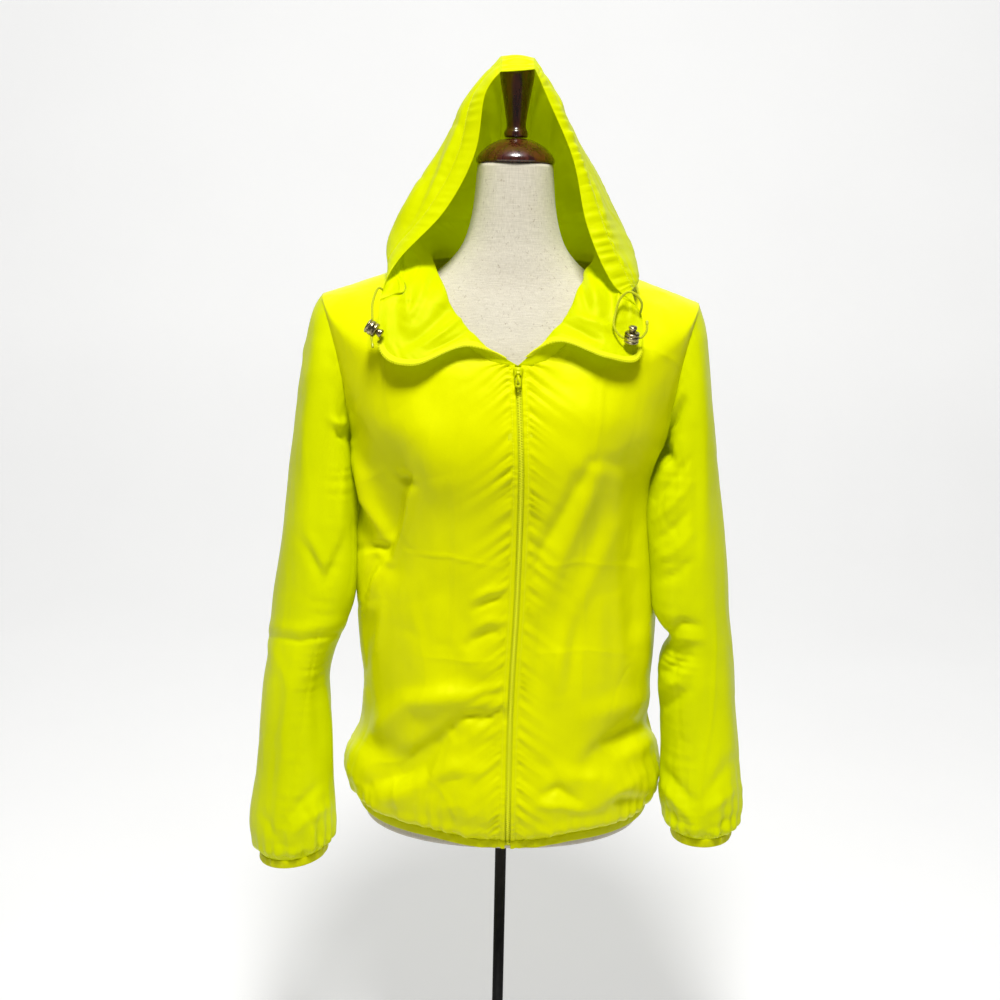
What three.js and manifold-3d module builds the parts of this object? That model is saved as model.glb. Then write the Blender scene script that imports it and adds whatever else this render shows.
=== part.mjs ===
// Windbreaker jacket with a raised hood, worn on a linen dress form that stands on a pole and a round base.
// Frame: mm, +Z up, -Y the front of the jacket, -X the viewer's left.
// The origin is the centre of the base underside.
import * as THREE from "three";
import { mergeVertices } from "three/addons/utils/BufferGeometryUtils.js";
import Module from "manifold-3d";

const wasm = await Module();
wasm.setup();

// Driving sizes
const CLOTH = 1.0; // shell cloth, drawn at the thinnest wall allowed
const HEM_CLOTH = 1.8; // two layers of cloth round an elastic
const SEAM_GAP = 0.25; // what each piece gives up at a seam
const ARMHOLE_GAP = 1.2;
const UNDERARM_GAP = 2.2; // more again where sleeve and body hang side by side
const FOLDED_GAP = 0.7; // at seams where the cloth turns a corner
const NECK_SEAM_GAP = 1.0;
const HOOD_SEAM_GAP = 1.7;
const BINDING_HEIGHT = 9;
const BINDING_GAP = 0.6;
const ZIP_TEETH_WIDTH = 4.6;
const ZIP_TEETH_DEPTH = 2.0;
const ZIP_OPENING = 4.4; // from the zip line to the cloth edge
const TAPE_INNER = 2.8;
const TAPE_OUTER = 13;
const TAPE_DROP = 1.9; // how far the tape lies behind the front
const CORD_RADIUS = 1.2;
const CORD_STEP = 4.6;
const POLE_RADIUS = 6.5;
const BASE_RADIUS = 150;
const BASE_HEIGHT = 12;
const BASE_CHAMFER = 3;

const TAU = Math.PI * 2;
const V = (x, y, z) => new THREE.Vector3(x, y, z);
const rad = (degrees) => (degrees * Math.PI) / 180;
const clamp01 = (t) => Math.min(1, Math.max(0, t));

// Smooth curve through the numbers of one table column, at a fractional row
function column(rows, name, at) {
  const last = rows.length - 1;
  const i = Math.min(last - 1, Math.max(0, Math.floor(at)));
  const t = at - i;
  const pick = (k) => rows[Math.min(last, Math.max(0, k))][name];
  const [a, b, c, d] = [pick(i - 1), pick(i), pick(i + 1), pick(i + 2)];
  return (
    b + 0.5 * t * (c - a + t * (2 * a - 5 * b + 4 * c - d + t * (3 * (b - c) + d - a)))
  );
}

// The body, a row per level from the hem seam to the neckline.
// zf and zb are the heights at centre front and centre back, yf and yb the depths there,
// left and right the half-widths at the side seam, ys its depth, turn the degrees round the armhole
// (180 underarm, 0 shoulder tip), seam the share of the shoulder seam, sweep the degrees the row turns.
const BODY = [
  { zf: 410, zb: 416, yf: -117, yb: 117, left: 163, right: 165, ys: 4, turn: 180, seam: 0, sweep: 90 },
  { zf: 420, zb: 426, yf: -124, yb: 124, left: 172, right: 174, ys: 4, turn: 180, seam: 0, sweep: 90 },
  { zf: 441, zb: 446, yf: -128, yb: 129, left: 180, right: 181, ys: 4, turn: 180, seam: 0, sweep: 90 },
  { zf: 463, zb: 466, yf: -127, yb: 128, left: 177, right: 178, ys: 5, turn: 180, seam: 0, sweep: 90 },
  { zf: 487, zb: 489, yf: -122, yb: 123, left: 166, right: 170, ys: 7, turn: 180, seam: 0, sweep: 90 },
  { zf: 515, zb: 516, yf: -118, yb: 118, left: 162, right: 164, ys: 10, turn: 180, seam: 0, sweep: 90 },
  { zf: 550, zb: 550, yf: -115, yb: 115, left: 161, right: 165, ys: 13, turn: 180, seam: 0, sweep: 90 },
  { zf: 590, zb: 590, yf: -113, yb: 112, left: 165, right: 168, ys: 16, turn: 180, seam: 0, sweep: 90 },
  { zf: 635, zb: 635, yf: -112, yb: 106, left: 168, right: 169, ys: 19, turn: 180, seam: 0, sweep: 90 },
  { zf: 685, zb: 685, yf: -112, yb: 101, left: 169, right: 166, ys: 20, turn: 180, seam: 0, sweep: 90 },
  { zf: 735, zb: 735, yf: -116, yb: 99, left: 169, right: 161.5, ys: 19, turn: 180, seam: 0, sweep: 90 },
  { zf: 780, zb: 782, yf: -122, yb: 100, left: 169, right: 157, ys: 15, turn: 180, seam: 0, sweep: 90 },
  { zf: 812, zb: 816, yf: -126, yb: 103, left: 170, right: 162, ys: 8, turn: 180, seam: 0, sweep: 90 },
  { zf: 836, zb: 842, yf: -127, yb: 106, left: 172, right: 172, ys: 2, turn: 180, seam: 0, sweep: 88 },
  { zf: 853, zb: 862, yf: -126, yb: 108, left: 172, right: 172, ys: 2, turn: 150, seam: 0, sweep: 76 },
  { zf: 869, zb: 885, yf: -123, yb: 108, left: 172, right: 172, ys: 2, turn: 122, seam: 0, sweep: 68 },
  { zf: 883, zb: 912, yf: -120, yb: 106, left: 172, right: 172, ys: 2, turn: 94, seam: 0, sweep: 66 },
  { zf: 894, zb: 940, yf: -117, yb: 102, left: 172, right: 172, ys: 2, turn: 64, seam: 0, sweep: 68 },
  { zf: 902, zb: 965, yf: -115, yb: 96, left: 172, right: 172, ys: 2, turn: 32, seam: 0, sweep: 78 },
  { zf: 907, zb: 984, yf: -113.5, yb: 90, left: 172, right: 172, ys: 2, turn: 0, seam: 0, sweep: 90 },
  { zf: 910, zb: 998, yf: -112.5, yb: 86, left: 172, right: 172, ys: 2, turn: 0, seam: 0.36, sweep: 90 },
  { zf: 912, zb: 1008, yf: -112, yb: 83, left: 172, right: 172, ys: 2, turn: 0, seam: 0.7, sweep: 90 },
  { zf: 914, zb: 1016, yf: -111.5, yb: 80, left: 172, right: 172, ys: 2, turn: 0, seam: 1, sweep: 90 },
];
const UNDERARM_ROW = 13;
const TIP_ROW = 19;
const NECK_ROW = BODY.length - 1;
const NECK_POINT = { x: 88, y: 12, z: 1013 };
const PLAN_FULLNESS = 0.86; // how square a level of the body is in plan
const SLOPE_FULLNESS = 1.5; // how late a level rises towards the side
const HALF_WIDTH = 165; // of the body, about which its folds stand out
const HALF_DEPTH = 118;
const FOLDS_FROM = 412; // no fold reaches the hem seam below this height
const FOLDS_FULL = 30;

// Where the zip runs, by height: it wanders a little to one side of the form's axis
const ZIP_LINE = [
  { z: 397, x: 6.5 },
  { z: 458, x: 5.8 },
  { z: 568, x: 6.6 },
  { z: 674, x: 10.5 },
  { z: 802, x: 11.5 },
  { z: 889, x: 7.5 },
  { z: 914, x: 6 },
];
function zipX(z) {
  let i = 0;
  while (i < ZIP_LINE.length - 2 && z > ZIP_LINE[i + 1].z) i++;
  const t = (z - ZIP_LINE[i].z) / (ZIP_LINE[i + 1].z - ZIP_LINE[i].z);
  return column(ZIP_LINE, "x", i + clamp01(t));
}

// The sleeves, a row per section from the armhole to the cuff seam.
// out and outZ are the outermost point, into and inZ the innermost, mid and midZ the front and back
// points, y the centre of the depth and deep half of it, inY the depth of the innermost point.
const SLEEVES = {
  left: [
    { out: 201.5, outZ: 975, into: 173, inZ: 836, inY: 2, mid: 176, midZ: 900, y: 2, deep: 60 },
    { out: 211.5, outZ: 959, into: 175.5, inZ: 826, inY: 0, mid: 184, midZ: 886, y: 2, deep: 62 },
    { out: 218.5, outZ: 926, into: 173.5, inZ: 814, inY: -6, mid: 190, midZ: 864, y: 1, deep: 63 },
    { out: 226, outZ: 880, into: 170.5, inZ: 796, inY: -14, mid: 196, midZ: 836, y: 0, deep: 62 },
    { out: 234, outZ: 825, into: 168, inZ: 770, inY: -22, mid: 201, midZ: 800, y: -2, deep: 60 },
    { out: 242, outZ: 765, into: 166.8, inZ: 738, inY: -27, mid: 205, midZ: 752, y: -4, deep: 59 },
    { out: 249, outZ: 706, into: 166.8, inZ: 700, inY: -30, mid: 210, midZ: 703, y: -7, deep: 58 },
    { out: 256, outZ: 654, into: 167.5, inZ: 654, inY: -30, mid: 214, midZ: 654, y: -10, deep: 57 },
    { out: 260, outZ: 617, into: 177, inZ: 617, inY: -28, mid: 219, midZ: 617, y: -14, deep: 56 },
    { out: 263, outZ: 588, into: 188, inZ: 588, inY: -24, mid: 225, midZ: 588, y: -18, deep: 56 },
    { out: 267, outZ: 556, into: 195, inZ: 556, inY: -24, mid: 231, midZ: 556, y: -22, deep: 56 },
    { out: 270, outZ: 520, into: 193, inZ: 520, inY: -28, mid: 231, midZ: 520, y: -28, deep: 54 },
    { out: 273, outZ: 483, into: 191, inZ: 483, inY: -34, mid: 232, midZ: 483, y: -34, deep: 52 },
    { out: 276, outZ: 440, into: 190, inZ: 440, inY: -41, mid: 233, midZ: 440, y: -41, deep: 50 },
    { out: 280, outZ: 407, into: 187, inZ: 409, inY: -47, mid: 233, midZ: 408, y: -47, deep: 48 },
    { out: 279, outZ: 384, into: 187, inZ: 390, inY: -50, mid: 233, midZ: 387, y: -50, deep: 44 },
    { out: 270, outZ: 361, into: 196, inZ: 370, inY: -52, mid: 232, midZ: 365, y: -52, deep: 36 },
  ],
  right: [
    { out: 197.5, outZ: 973, into: 173, inZ: 838, inY: 2, mid: 174, midZ: 902, y: 2, deep: 58 },
    { out: 203.5, outZ: 952, into: 175, inZ: 828, inY: 0, mid: 181, midZ: 888, y: 2, deep: 60 },
    { out: 209, outZ: 918, into: 172, inZ: 816, inY: -6, mid: 187, midZ: 866, y: 1, deep: 61 },
    { out: 216, outZ: 876, into: 165.5, inZ: 798, inY: -14, mid: 191, midZ: 838, y: 0, deep: 61 },
    { out: 224, outZ: 826, into: 158, inZ: 772, inY: -22, mid: 194, midZ: 800, y: -2, deep: 60 },
    { out: 233, outZ: 768, into: 158, inZ: 742, inY: -27, mid: 198, midZ: 756, y: -4, deep: 59 },
    { out: 240, outZ: 706, into: 164.5, inZ: 700, inY: -30, mid: 204, midZ: 703, y: -7, deep: 58 },
    { out: 246, outZ: 648, into: 168.5, inZ: 645, inY: -30, mid: 210, midZ: 647, y: -10, deep: 56 },
    { out: 250, outZ: 611, into: 184, inZ: 611, inY: -28, mid: 217, midZ: 611, y: -14, deep: 54 },
    { out: 253, outZ: 588, into: 177, inZ: 588, inY: -24, mid: 215, midZ: 588, y: -17, deep: 55 },
    { out: 255, outZ: 565, into: 174, inZ: 565, inY: -24, mid: 214, midZ: 565, y: -21, deep: 55 },
    { out: 258, outZ: 530, into: 179, inZ: 530, inY: -28, mid: 218, midZ: 530, y: -26, deep: 53 },
    { out: 262, outZ: 489, into: 184, inZ: 489, inY: -34, mid: 223, midZ: 489, y: -33, deep: 51 },
    { out: 266, outZ: 451, into: 183, inZ: 451, inY: -41, mid: 224, midZ: 451, y: -40, deep: 49 },
    { out: 268, outZ: 428, into: 181, inZ: 426, inY: -47, mid: 224, midZ: 427, y: -45, deep: 47 },
    { out: 264, outZ: 413, into: 183, inZ: 410, inY: -50, mid: 224, midZ: 412, y: -48, deep: 43 },
    { out: 256, outZ: 400, into: 191, inZ: 397, inY: -52, mid: 224, midZ: 399, y: -50, deep: 36 },
  ],
};

function sleevePoint(side, row, turn) {
  const rows = SLEEVES[side];
  const sign = side === "left" ? -1 : 1;
  const get = (name) => column(rows, name, row);
  const [c, s] = [Math.cos(turn), Math.sin(turn)];
  const across = (outer, inner, mid) =>
    (outer + inner) / 2 + ((outer - inner) / 2) * c + (mid - (outer + inner) / 2) * s * s;
  return V(
    sign * across(get("out"), get("into"), get("mid")),
    get("y") - get("deep") * s + ((get("inY") - get("y")) * (1 - c) * (1 - c)) / 4,
    across(get("outZ"), get("inZ"), get("midZ")),
  );
}

// The outer end of a body row: side seam, then armhole, then shoulder seam
function rowEnd(side, face, row) {
  const sign = side === "left" ? -1 : 1;
  if (row <= UNDERARM_ROW) {
    const k = clamp01(row - UNDERARM_ROW + 1);
    const under = sleevePoint(side, 0, Math.PI);
    const z = (column(BODY, "zf", row) + column(BODY, "zb", row)) / 2;
    const seam = V(sign * column(BODY, side, row), column(BODY, "ys", row), z);
    return seam.lerp(under, k);
  }
  if (row <= TIP_ROW) {
    const turn = rad(column(BODY, "turn", row));
    return sleevePoint(side, 0, face === "front" ? turn : -turn);
  }
  const tip = sleevePoint(side, 0, 0);
  const neck = V(sign * NECK_POINT.x, NECK_POINT.y, NECK_POINT.z);
  return tip.lerp(neck, column(BODY, "seam", row));
}

// Large soft folds of the body: a ridge (rise above 0) or trough from one point to another, on the
// front or the back, in x and height
const BODY_FOLDS = [
  { face: "front", x1: -78, z1: 838, x2: -70, z2: 822, wide: 52, rise: 9 },
  { face: "front", x1: 84, z1: 838, x2: 76, z2: 822, wide: 52, rise: 9 },
  { face: "front", x1: -118, z1: 800, x2: -128, z2: 700, wide: 20, rise: -7 },
  { face: "front", x1: -150, z1: 790, x2: -148, z2: 650, wide: 16, rise: 5 },
  { face: "front", x1: 128, z1: 830, x2: 138, z2: 640, wide: 20, rise: -5 },
  { face: "front", x1: -150, z1: 500, x2: -95, z2: 480, wide: 20, rise: -6 },
  { face: "front", x1: -60, z1: 560, x2: -30, z2: 450, wide: 24, rise: 4 },
  { face: "front", x1: 60, z1: 600, x2: 110, z2: 470, wide: 26, rise: 5 },
  { face: "front", x1: 130, z1: 500, x2: 90, z2: 485, wide: 18, rise: -5 },
  { face: "back", x1: -60, z1: 900, x2: -70, z2: 620, wide: 34, rise: 6 },
  { face: "back", x1: 66, z1: 880, x2: 52, z2: 600, wide: 34, rise: 6 },
  { face: "back", x1: 0, z1: 700, x2: 8, z2: 480, wide: 30, rise: -5 },
  { face: "back", x1: 120, z1: 640, x2: 110, z2: 470, wide: 24, rise: 5 },
  { face: "back", x1: -120, z1: 660, x2: -124, z2: 470, wide: 24, rise: 5 },
];
function foldRise(folds, face, x, z) {
  let rise = 0;
  for (const f of folds) {
    if (f.face !== face) continue;
    const [dx, dz] = [f.x2 - f.x1, f.z2 - f.z1];
    const t = clamp01(((x - f.x1) * dx + (z - f.z1) * dz) / (dx * dx + dz * dz));
    const away = Math.hypot(x - f.x1 - t * dx, z - f.z1 - t * dz) / f.wide;
    rise += f.rise * Math.exp(-away * away);
  }
  return rise;
}

// A point of the front or back: share runs from the centre (0) to the side (1)
function bodyPoint(side, face, row, share) {
  const front = face === "front";
  const zc = column(BODY, front ? "zf" : "zb", row);
  const yc = column(BODY, front ? "yf" : "yb", row);
  const end = rowEnd(side, face, row);
  const sweep = rad(column(BODY, "sweep", row));
  const a = share * sweep;
  const bend = (angle, power) => Math.pow(Math.max(0, Math.cos(angle)), power);
  const sx = Math.pow(Math.sin(a) / Math.sin(sweep), PLAN_FULLNESS);
  const endBend = bend(sweep, PLAN_FULLNESS);
  const sy = (bend(a, PLAN_FULLNESS) - endBend) / (1 - endBend);
  const endSlope = bend(sweep, SLOPE_FULLNESS);
  const sz = (1 - bend(a, SLOPE_FULLNESS)) / (1 - endSlope);
  const start = front ? zipX(zc) : 0;
  const p = V(start + (end.x - start) * sx, end.y + (yc - end.y) * sy, zc + (end.z - zc) * sz);
  const away = foldRise(BODY_FOLDS, face, p.x, p.z) * (1 - Math.pow(share, 6));
  const hemward = clamp01((p.z - FOLDS_FROM) / FOLDS_FULL);
  const neckward = clamp01((NECK_ROW - row) / 4);
  const out = V(p.x / HALF_WIDTH / HALF_WIDTH, p.y / HALF_DEPTH / HALF_DEPTH, 0).normalize();
  return p.addScaledVector(out, away * hemward * neckward);
}

// The neckline, from the zip (0) over the shoulder point (0.6) to centre back (1)
const SHOULDER_SHARE = 0.6;
function neckline(side, share) {
  return share <= SHOULDER_SHARE
    ? bodyPoint(side, "front", NECK_ROW, share / SHOULDER_SHARE)
    : bodyPoint(side, "back", NECK_ROW, (1 - share) / (1 - SHOULDER_SHARE));
}

// Collar and hood, a row per rib from the free edge in front (first) to the gusset seam at the
// back (last). root is the place on the neckline; then come the stations up the rib as [out, y, z]:
// three on the collar, the hood seam, four on the hood, and the gusset seam at the crown.
const RIBS = {
  left: [
    {
      root: 0.0,
      roll: [42, -114, 934], fall: [94, -125, 916], corner: [127, -112, 926], seam: [132, -88, 973],
      low: [116, -69, 1012], side: [70, -60, 1062], high: [41, -53, 1118], brow: [32, -48, 1174],
      crown: [17, -46, 1197],
    },
    {
      root: 0.09,
      roll: [40, -106, 942], fall: [86, -115, 934], corner: [112, -104, 942], seam: [119, -84, 979],
      low: [125, -52, 1016], side: [89, -50, 1064], high: [58, -44, 1118], brow: [43, -36, 1172],
      crown: [17, -28, 1209],
    },
    {
      root: 0.24,
      roll: [56, -90, 960], fall: [80, -101, 957], corner: [100, -96, 962], seam: [108, -82, 984],
      low: [131, -30, 1022], side: [111, -26, 1071], high: [78, -18, 1124], brow: [50, -18, 1176],
      crown: [17, -10, 1216],
    },
    {
      root: 0.42,
      roll: [70, -70, 988], fall: [86, -72, 990], corner: [100, -66, 996], seam: [112, -54, 1004],
      low: [129, 2, 1034], side: [108, 8, 1078], high: [79, 12, 1126], brow: [48, 8, 1176],
      crown: [17, 10, 1217],
    },
    {
      root: 0.62,
      roll: [86, 16, 1020], fall: [92, 18, 1028], corner: [100, 22, 1036], seam: [110, 28, 1044],
      low: [114, 48, 1060], side: [98, 52, 1092], high: [72, 50, 1130], brow: [44, 42, 1168],
      crown: [17, 40, 1202],
    },
    {
      root: 0.82,
      roll: [58, 74, 1026], fall: [62, 80, 1036], corner: [68, 87, 1046], seam: [76, 94, 1054],
      low: [80, 110, 1066], side: [68, 112, 1088], high: [52, 104, 1112], brow: [34, 94, 1132],
      crown: [17, 88, 1148],
    },
    {
      root: 0.93,
      roll: [20, 88, 1026], fall: [19, 95, 1036], corner: [18, 103, 1046], seam: [17, 112, 1053],
      low: [17, 125, 1058], side: [17, 134, 1066], high: [17, 138, 1077], brow: [17, 137, 1088],
      crown: [17, 132, 1100],
    },
  ],
  right: [
    {
      root: 0.0,
      roll: [42, -114, 940], fall: [90, -124, 927], corner: [123, -109, 925], seam: [127, -90, 966],
      low: [97, -82, 996], side: [72, -69, 1050], high: [57, -55, 1114], brow: [31, -48, 1171],
      crown: [17, -46, 1200],
    },
    {
      root: 0.09,
      roll: [40, -106, 948], fall: [82, -114, 942], corner: [110, -102, 941], seam: [117, -86, 976],
      low: [114, -72, 1000], side: [90, -58, 1054], high: [66, -44, 1116], brow: [40, -36, 1172],
      crown: [17, -28, 1210],
    },
    {
      root: 0.24,
      roll: [55, -92, 965], fall: [76, -100, 964], corner: [97, -94, 964], seam: [106, -84, 984],
      low: [129, -45, 1002], side: [103, -20, 1056], high: [72, -14, 1112], brow: [44, -18, 1176],
      crown: [17, -10, 1215],
    },
    {
      root: 0.42,
      roll: [66, -68, 992], fall: [82, -70, 994], corner: [96, -64, 998], seam: [110, -50, 1004],
      low: [124, 2, 1028], side: [101, 8, 1072], high: [74, 10, 1122], brow: [45, 8, 1176],
      crown: [17, 10, 1216],
    },
    {
      root: 0.62,
      roll: [86, 16, 1020], fall: [92, 18, 1028], corner: [99, 22, 1036], seam: [108, 28, 1044],
      low: [111, 48, 1060], side: [95, 52, 1092], high: [70, 50, 1130], brow: [43, 42, 1168],
      crown: [17, 40, 1201],
    },
    {
      root: 0.82,
      roll: [58, 74, 1026], fall: [62, 80, 1036], corner: [68, 87, 1046], seam: [76, 94, 1054],
      low: [80, 110, 1066], side: [68, 112, 1088], high: [52, 104, 1112], brow: [34, 94, 1132],
      crown: [17, 88, 1148],
    },
    {
      root: 0.93,
      roll: [20, 88, 1026], fall: [19, 95, 1036], corner: [18, 103, 1046], seam: [17, 112, 1053],
      low: [17, 125, 1058], side: [17, 134, 1066], high: [17, 138, 1077], brow: [17, 137, 1088],
      crown: [17, 132, 1100],
    },
  ],
};
const STATIONS = ["neck", "roll", "fall", "corner", "seam", "low", "side", "high", "brow", "crown"];
const SEAM_STATION = 4;
const CROWN_STATION = 9;
const LAST_RIB = 6;

function ribRow(side, rib) {
  const row = RIBS[side][rib];
  const sign = side === "left" ? -1 : 1;
  return STATIONS.map((name) => {
    if (name === "neck") return neckline(side, row.root);
    const [out, y, z] = row[name];
    return V(sign * out, y, z);
  });
}
// One net of ribs runs from the left free edge round the back to the right free edge
const ribs = [
  ...RIBS.left.map((_, i) => ribRow("left", i)),
  ...RIBS.right.map((_, i) => ribRow("right", LAST_RIB - i)),
];
const RIB_END = ribs.length - 1;
const smooth3 = (rows, at) =>
  V(column(rows, "x", at), column(rows, "y", at), column(rows, "z", at));
const plainNet = (rib, station) =>
  smooth3(
    ribs.map((row) => smooth3(row, station)),
    rib,
  );
function rootOf(rib) {
  const side = rib <= RIB_END / 2 ? "left" : "right";
  const at = Math.min(rib, RIB_END - rib);
  const share = column([...RIBS[side], { root: 1.07 }], "root", at);
  return neckline(side, Math.min(1, share));
}
// The bottom of the collar follows the neckline exactly and eases into the net by the roll
function netPoint(rib, station) {
  const p = plainNet(rib, station);
  if (station >= 1) return p;
  const ease = (1 - station) * (1 - station);
  return p.addScaledVector(rootOf(rib).sub(plainNet(rib, 0)), ease);
}
const hoodPoint = (side, rib, station) => netPoint(side === "left" ? rib : RIB_END - rib, station);

// A sheet is a grid of points with its faces; round closes it into a tube
function sheet(columns, rows, at, { round = false } = {}) {
  const points = [];
  for (let j = 0; j <= rows; j++)
    for (let i = 0; i < columns + (round ? 0 : 1); i++) points.push(at(i / columns, j / rows));
  const wide = round ? columns : columns + 1;
  const id = (i, j) => (round ? i % columns : i) + wide * j;
  const faces = [];
  for (let j = 0; j < rows; j++)
    for (let i = 0; i < columns; i++) {
      const [a, b, c, d] = [id(i, j), id(i + 1, j), id(i + 1, j + 1), id(i, j + 1)];
      if ((i + j) % 2) faces.push([a, b, c], [a, c, d]);
      else faces.push([a, b, d], [b, c, d]);
    }
  return { points, faces, wide, tall: rows + 1, round };
}

// Draws the edges of a sheet back from the seams: gap per edge, in grid order
function trim(s, { first = 0, last = 0, bottom = 0, top = 0 }) {
  const at = (i, j) => s.points[i + s.wide * j];
  const pull = (p, towards, gap) => {
    const step = towards.clone().sub(p);
    const far = step.length();
    if (far > 1e-6) p.addScaledVector(step, Math.min(0.45, gap / far));
  };
  for (let i = 0; i < s.wide; i++) {
    if (bottom) pull(at(i, 0), at(i, 1), typeof bottom === "function" ? bottom(i) : bottom);
    if (top) pull(at(i, s.tall - 1), at(i, s.tall - 2), top);
  }
  for (let j = 0; j < s.tall && !s.round; j++) {
    if (first) pull(at(0, j), at(1, j), first);
    if (last) pull(at(s.wide - 1, j), at(s.wide - 2, j), last);
  }
  return s;
}

// Gives a sheet its thickness: one closed body with its two faces apart by thick, set off by shift
function wall(s, thick, shift = 0) {
  const normals = s.points.map(() => V(0, 0, 0));
  const live = s.faces.filter(([a, b, c]) => {
    const n = V(0, 0, 0)
      .subVectors(s.points[b], s.points[a])
      .cross(V(0, 0, 0).subVectors(s.points[c], s.points[a]));
    if (n.length() < 1e-5) return false;
    for (const k of [a, b, c]) normals[k].add(n);
    return true;
  });
  const count = s.points.length;
  const spots = new Float32Array(count * 6);
  s.points.forEach((p, k) => {
    const n = normals[k].normalize();
    const half = typeof thick === "function" ? thick(p, k) / 2 : thick / 2;
    p.clone().addScaledVector(n, shift + half).toArray(spots, 3 * k);
    p.clone().addScaledVector(n, shift - half).toArray(spots, 3 * (k + count));
  });
  const index = [];
  const open = new Map();
  for (const [a, b, c] of live) {
    index.push(a, b, c, a + count, c + count, b + count);
    for (const [p, q] of [[a, b], [b, c], [c, a]]) {
      if (open.has(q + ":" + p)) open.delete(q + ":" + p);
      else open.set(p + ":" + q, [p, q]);
    }
  }
  for (const [p, q] of open.values()) index.push(q, p, p + count, q, p + count, q + count);
  const g = new THREE.BufferGeometry();
  g.setAttribute("position", new THREE.BufferAttribute(spots, 3));
  g.setIndex(index);
  return mergeVertices(g, 1e-4);
}

// Closes both ends of a tube with flat fans
function capped(s) {
  const [low, high] = [V(0, 0, 0), V(0, 0, 0)];
  const top = s.wide * (s.tall - 1);
  for (let i = 0; i < s.wide; i++) {
    low.addScaledVector(s.points[i], 1 / s.wide);
    high.addScaledVector(s.points[top + i], 1 / s.wide);
  }
  const [a, b] = [s.points.push(low) - 1, s.points.push(high) - 1];
  for (let i = 0; i < s.wide; i++) {
    const k = (i + 1) % s.wide;
    s.faces.push([a, k, i], [b, top + i, top + k]);
  }
  const g = new THREE.BufferGeometry().setFromPoints(s.points);
  g.setIndex(s.faces.flat());
  return g;
}

// Booleans on closed geometry
function solid(geometry) {
  const g = geometry.clone();
  g.deleteAttribute("normal");
  g.deleteAttribute("uv");
  const m = mergeVertices(g, 1e-4);
  const triVerts = new Uint32Array(m.index.array);
  const vertProperties = new Float32Array(m.attributes.position.array);
  return new wasm.Manifold(new wasm.Mesh({ numProp: 3, vertProperties, triVerts }));
}
function geometryOf(body) {
  const m = body.getMesh();
  const g = new THREE.BufferGeometry();
  g.setAttribute("position", new THREE.BufferAttribute(new Float32Array(m.vertProperties), 3));
  g.setIndex([...m.triVerts]);
  return g;
}

const model = new THREE.Group();
model.name = "windbreaker_on_form";
const COLOURS = {
  cloth: 0xd9e800, tape: 0xdeee30, teeth: 0xd2de20, cord: 0xd5e41a,
  metal: 0x6b6256, linen: 0xece6d8, wood: 0x3a120a, iron: 0x141414,
};
function add(name, geometry, kind) {
  const metal = kind === "metal" || kind === "iron";
  const material = new THREE.MeshStandardMaterial({
    color: COLOURS[kind],
    roughness: kind === "cloth" ? 0.6 : 0.4,
    metalness: metal ? 0.8 : 0,
    side: THREE.DoubleSide,
  });
  const mesh = new THREE.Mesh(geometry, material);
  mesh.name = name;
  model.add(mesh);
  return mesh;
}
const flip = (s) => ({ ...s, faces: s.faces.map(([a, b, c]) => [a, c, b]) });

// Fronts and back
const BODY_COLUMNS = 9;
const BODY_STEPS = NECK_ROW;
const rowAt = (v) => v * NECK_ROW;
const shareAt = (u) => Math.pow(u, 1.35); // closer steps beside the zip
for (const side of ["left", "right"]) {
  const front = sheet(BODY_COLUMNS, BODY_STEPS, (u, v) =>
    bodyPoint(side, "front", rowAt(v), shareAt(u)),
  );
  const s = trim(front, { last: FOLDED_GAP, top: SEAM_GAP });
  const sign = side === "left" ? -1 : 1;
  for (let j = 0; j < s.tall; j++) s.points[s.wide * j].x += sign * ZIP_OPENING;
  add("front_" + side, wall(side === "left" ? flip(s) : s, CLOTH), "cloth");
}
const back = sheet(BODY_COLUMNS * 2, BODY_STEPS, (u, v) => {
  const side = u < 0.5 ? "left" : "right";
  return bodyPoint(side, "back", rowAt(v), shareAt(Math.abs(2 * u - 1)));
});
trim(back, { first: FOLDED_GAP, last: FOLDED_GAP, top: SEAM_GAP });
add("back", wall(flip(back), CLOTH), "cloth");

// Sleeves and cuff bindings
const SLEEVE_COLUMNS = 16;
const SLEEVE_STEPS = 22;
for (const side of ["left", "right"]) {
  const rows = SLEEVES[side].length - 1;
  const s = sheet(
    SLEEVE_COLUMNS,
    SLEEVE_STEPS,
    (u, v) => sleevePoint(side, rows * v, TAU * u),
    { round: true },
  );
  const underarm = (i) => Math.pow(Math.sin((Math.PI * i) / SLEEVE_COLUMNS), 8);
  trim(s, { bottom: (i) => ARMHOLE_GAP + UNDERARM_GAP * underarm(i) });
  add("sleeve_" + side, wall(side === "left" ? flip(s) : s, CLOTH), "cloth");
  const cuff = sheet(
    SLEEVE_COLUMNS,
    1,
    (u, v) => {
      const p = sleevePoint(side, rows, TAU * u);
      p.z -= BINDING_GAP + v * BINDING_HEIGHT;
      return p;
    },
    { round: true },
  );
  add("cuff_binding_" + side, wall(side === "left" ? flip(cuff) : cuff, HEM_CLOTH), "cloth");
}

// Hem binding: a ring under the body, open at the zip
const HEM_COLUMNS = 36;
const hem = sheet(HEM_COLUMNS, 1, (u, v) => {
  const turn = 4 * u;
  const leg = Math.min(3, Math.floor(turn));
  const t = turn - leg;
  const spots = [
    () => bodyPoint("right", "front", 0, t),
    () => bodyPoint("right", "back", 0, 1 - t),
    () => bodyPoint("left", "back", 0, t),
    () => bodyPoint("left", "front", 0, 1 - t),
  ];
  const p = spots[leg]();
  if (u === 0) p.x += ZIP_OPENING;
  if (u === 1) p.x -= ZIP_OPENING;
  p.z -= BINDING_GAP + v * BINDING_HEIGHT;
  return p;
});
add("hem_binding", wall(flip(hem), HEM_CLOTH), "cloth");

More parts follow.
